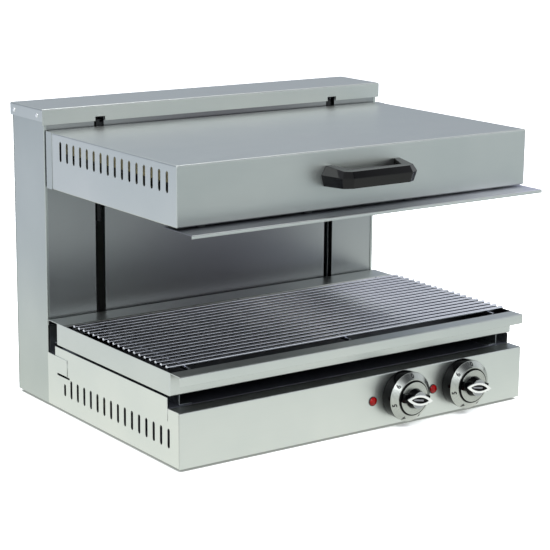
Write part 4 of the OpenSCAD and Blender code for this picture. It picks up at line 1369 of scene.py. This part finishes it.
@dataclass
class Studio:
    """Camera, pale floor and soft light.

    Attributes:
        eye: the camera's place.
        azimuth: direction of view from +Y towards +X, in degrees.
        elevation: how far the view points down, in degrees.
        roll: turn about the line of view, in degrees.
        lens: focal length on a 36 mm sensor.
        near_floor: colour that metal reflects from the floor beside the machine.
        far_left: the same from the floor far to the left.
        far_right: the same from the floor far to the right.
        dim_patch: the same from a dimmer patch a good way in front.
        shine: how brightly metal reflects the floor.
        contact: width of the dark line where the machine meets the floor.
        behind: colour that metal reflects from the lower wall behind the machine.
        in_front: the same from the darker part of the room in front.
        aim: what the lamps point at.
    """

    eye: Triple = (-1.48724, -2.09479, 0.78581)
    azimuth: float = 35.398
    elevation: float = 13.122
    roll: float = 0.541
    lens: float = 117.168
    near_floor: str = "FBFEF8"
    far_left: str = "E4E9F4"
    far_right: str = "B6BFC4"
    dim_patch: str = "7E8688"
    shine: float = 1.1
    contact: float = 14.0 * MM
    behind: str = "929AA8"
    in_front: str = "34363C"
    aim: Triple = (0.0, 0.0, 0.2)

    def build(self) -> None:
        """Make the camera, the floor, the world and the lamps."""
        self.camera()
        self.floor()
        self.world()
        self.lamps()

    def camera(self) -> None:
        """Make the camera and hand it to the scene."""
        a, e, r = (math.radians(v) for v in (self.azimuth, self.elevation, self.roll))
        ahead = Vector((math.sin(a) * math.cos(e), math.cos(a) * math.cos(e), -math.sin(e)))
        right = Vector((math.cos(a), -math.sin(a), 0.0))
        up = right.cross(ahead)
        side = right * math.cos(r) + up * math.sin(r)
        top = up * math.cos(r) - right * math.sin(r)
        data = bpy.data.cameras.new("camera")
        data.lens, data.sensor_width = self.lens, 36.0
        data.clip_start, data.clip_end = 0.05, 60.0
        camera = bpy.data.objects.new("camera", data)
        turn = Matrix((side, top, -ahead)).transposed().to_4x4()
        camera.matrix_world = Matrix.Translation(self.eye) @ turn
        bpy.context.scene.collection.objects.link(camera)
        bpy.context.scene.camera = camera

    def floor(self) -> None:
        """Pale floor: overexposed to the eye, dimmer with distance in reflections."""
        deselect()
        bpy.ops.mesh.primitive_circle_add(vertices=96, radius=14.0, fill_type="NGON")
        floor = bpy.context.active_object
        floor.name = "studio_floor"
        paint = bpy.data.materials.new("floor_paper")
        paint.use_nodes = True
        tree = paint.node_tree
        tree.nodes.clear()
        rays = add_node(tree, "LightPath").outputs
        mirrored = add_node(tree, "Emission", {"Strength": self.shine},
                            {"Color": self.floor_glow(tree)})
        matte = add_node(tree, "BsdfDiffuse", {"Color": linear("DADADA")})
        nook = add_node(tree, "AmbientOcclusion", {"Distance": self.contact}).outputs["AO"]
        white = add_node(tree, "MapRange", {"From Min": 0.25, "From Max": 0.7, "To Min": 0.5,
                                            "To Max": 2.0}, {"Value": nook})
        blown = add_node(tree, "BsdfDiffuse", None, {"Color": white.outputs[0]})
        seen = add_node(tree, "Math", {"operation": "MAXIMUM"},
                        {0: rays["Is Camera Ray"], 1: rays["Is Transmission Ray"]})
        plain = add_node(tree, "MixShader", None, {0: seen.outputs[0], 1: matte.outputs[0],
                                                   2: blown.outputs[0]})
        mix = add_node(tree, "MixShader", None, {0: rays["Is Glossy Ray"], 1: plain.outputs[0],
                                                 2: mirrored.outputs[0]})
        add_node(tree, "OutputMaterial", None, {"Surface": mix.outputs[0]})
        floor.data.materials.append(paint)

    def floor_glow(self, tree: Tree) -> Socket:
        """Colour of the floor in reflections.

        Args:
            tree: the floor's node tree.

        Returns:
            The colour.
        """
        spot = add_node(tree, "TexCoord").outputs["Object"]
        away = add_node(tree, "VectorMath", {"operation": "LENGTH"}, {0: spot}).outputs["Value"]
        across, along, _ = add_node(tree, "SeparateXYZ", None, {0: spot}).outputs
        rightwards = add_node(tree, "MapRange", {"From Min": -0.7, "From Max": 0.5},
                              {"Value": across})
        far = add_node(tree, "Mix", {"data_type": "RGBA", COLOUR_A: linear(self.far_left),
                                     COLOUR_B: linear(self.far_right)},
                       {"Factor": rightwards.outputs[0]})
        outwards = add_node(tree, "MapRange", {"From Min": 0.45, "From Max": 1.5},
                            {"Value": away})
        glow = add_node(tree, "Mix", {"data_type": "RGBA", COLOUR_A: linear(self.near_floor)},
                        {"Factor": outwards.outputs[0], COLOUR_B: far.outputs[COLOUR_MIX]})
        return zone(tree, glow.outputs[COLOUR_MIX], self.dim_patch,
                    (across, 1.5, 0.6), (along, -1.0, -1.5))

    def world(self) -> None:
        """White backdrop to the eye, a soft grey room in reflections and for the light."""
        world = bpy.data.worlds.new("studio")
        bpy.context.scene.world = world
        world.use_nodes = True
        tree = world.node_tree
        tree.nodes.clear()
        rays = add_node(tree, "LightPath").outputs
        spot = add_node(tree, "TexCoord").outputs["Generated"]
        x, y, z = add_node(tree, "SeparateXYZ", None, {0: spot}).outputs
        room = add_node(tree, "ValToRGB", None, {0: z},
                        [(0.0, linear("8C9096")), (0.22, linear("A9AFBA")),
                         (0.55, linear("DADDE2")), (1.0, linear("F2F3F5"))])
        walls = add_node(tree, "ValToRGB", None, {0: z},
                         [(0.0, (1.15, 1.2, 1.15, 1.0)), (0.3, (1.2, 1.24, 1.3, 1.0)),
                          (0.5, linear("F0F4FA")), (1.0, linear("FFFFFF"))])
        mirrored = zone(tree, walls.outputs[0], self.behind, (y, 0.1, 0.5), (z, 0.6, 0.35))
        mirrored = zone(tree, mirrored, self.in_front, (y, 0.0, -0.3), (z, 0.27, 0.42),
                        (x, 0.67, 0.57), (x, -0.3, 0.1))
        lit = add_node(tree, "Mix", {"data_type": "RGBA"},
                       {"Factor": rays["Is Glossy Ray"], COLOUR_A: room.outputs[0],
                        COLOUR_B: mirrored})
        seen = add_node(tree, "Mix", {"data_type": "RGBA", COLOUR_B: (1, 1, 1, 1)},
                        {"Factor": rays["Is Camera Ray"], COLOUR_A: lit.outputs[COLOUR_MIX]})
        light = add_node(tree, "Background", None, {"Color": seen.outputs[COLOUR_MIX]})
        add_node(tree, "OutputWorld", None, {"Surface": light.outputs[0]})

    def lamps(self) -> None:
        """Three soft boxes: a key from the left front, a fill and a top light."""
        for name, spot, size, power, mirrored in (
                ("key_box", (-1.9, -2.2, 2.2), 1.8, 42.0, True),
                ("fill_box", (2.2, -1.6, 1.5), 1.6, 20.0, False),
                ("top_box", (0.2, 0.3, 2.9), 2.0, 30.0, True)):
            data = bpy.data.lights.new(name, "AREA")
            data.shape, data.size, data.energy = "SQUARE", size, power
            lamp = bpy.data.objects.new(name, data)
            lamp.visible_glossy = mirrored
            lamp.location = spot
            ray = Vector(self.aim) - Vector(spot)
            lamp.rotation_mode = "QUATERNION"
            lamp.rotation_quaternion = ray.to_track_quat("-Z", "Y")
            bpy.context.scene.collection.objects.link(lamp)


def main() -> None:
    """Build the scene in order."""
    logging.basicConfig(level=logging.INFO, format="%(message)s")
    bpy.context.scene.view_settings.view_transform = "Standard"
    Studio().build()
    Stand("stand").build()
    Hood("hood").build()
    for level in ("upper", "lower"):
        for side in SIDES:
            node = f"roller_{level}_{side}"
            Roller(node + "_body", node).build()
    Knob("knob_l", "left").build()
    Knob("knob_r", "right").build()
    Tray("tray").build()
    Grid("grid").build()


if __name__ == "__main__":
    main()
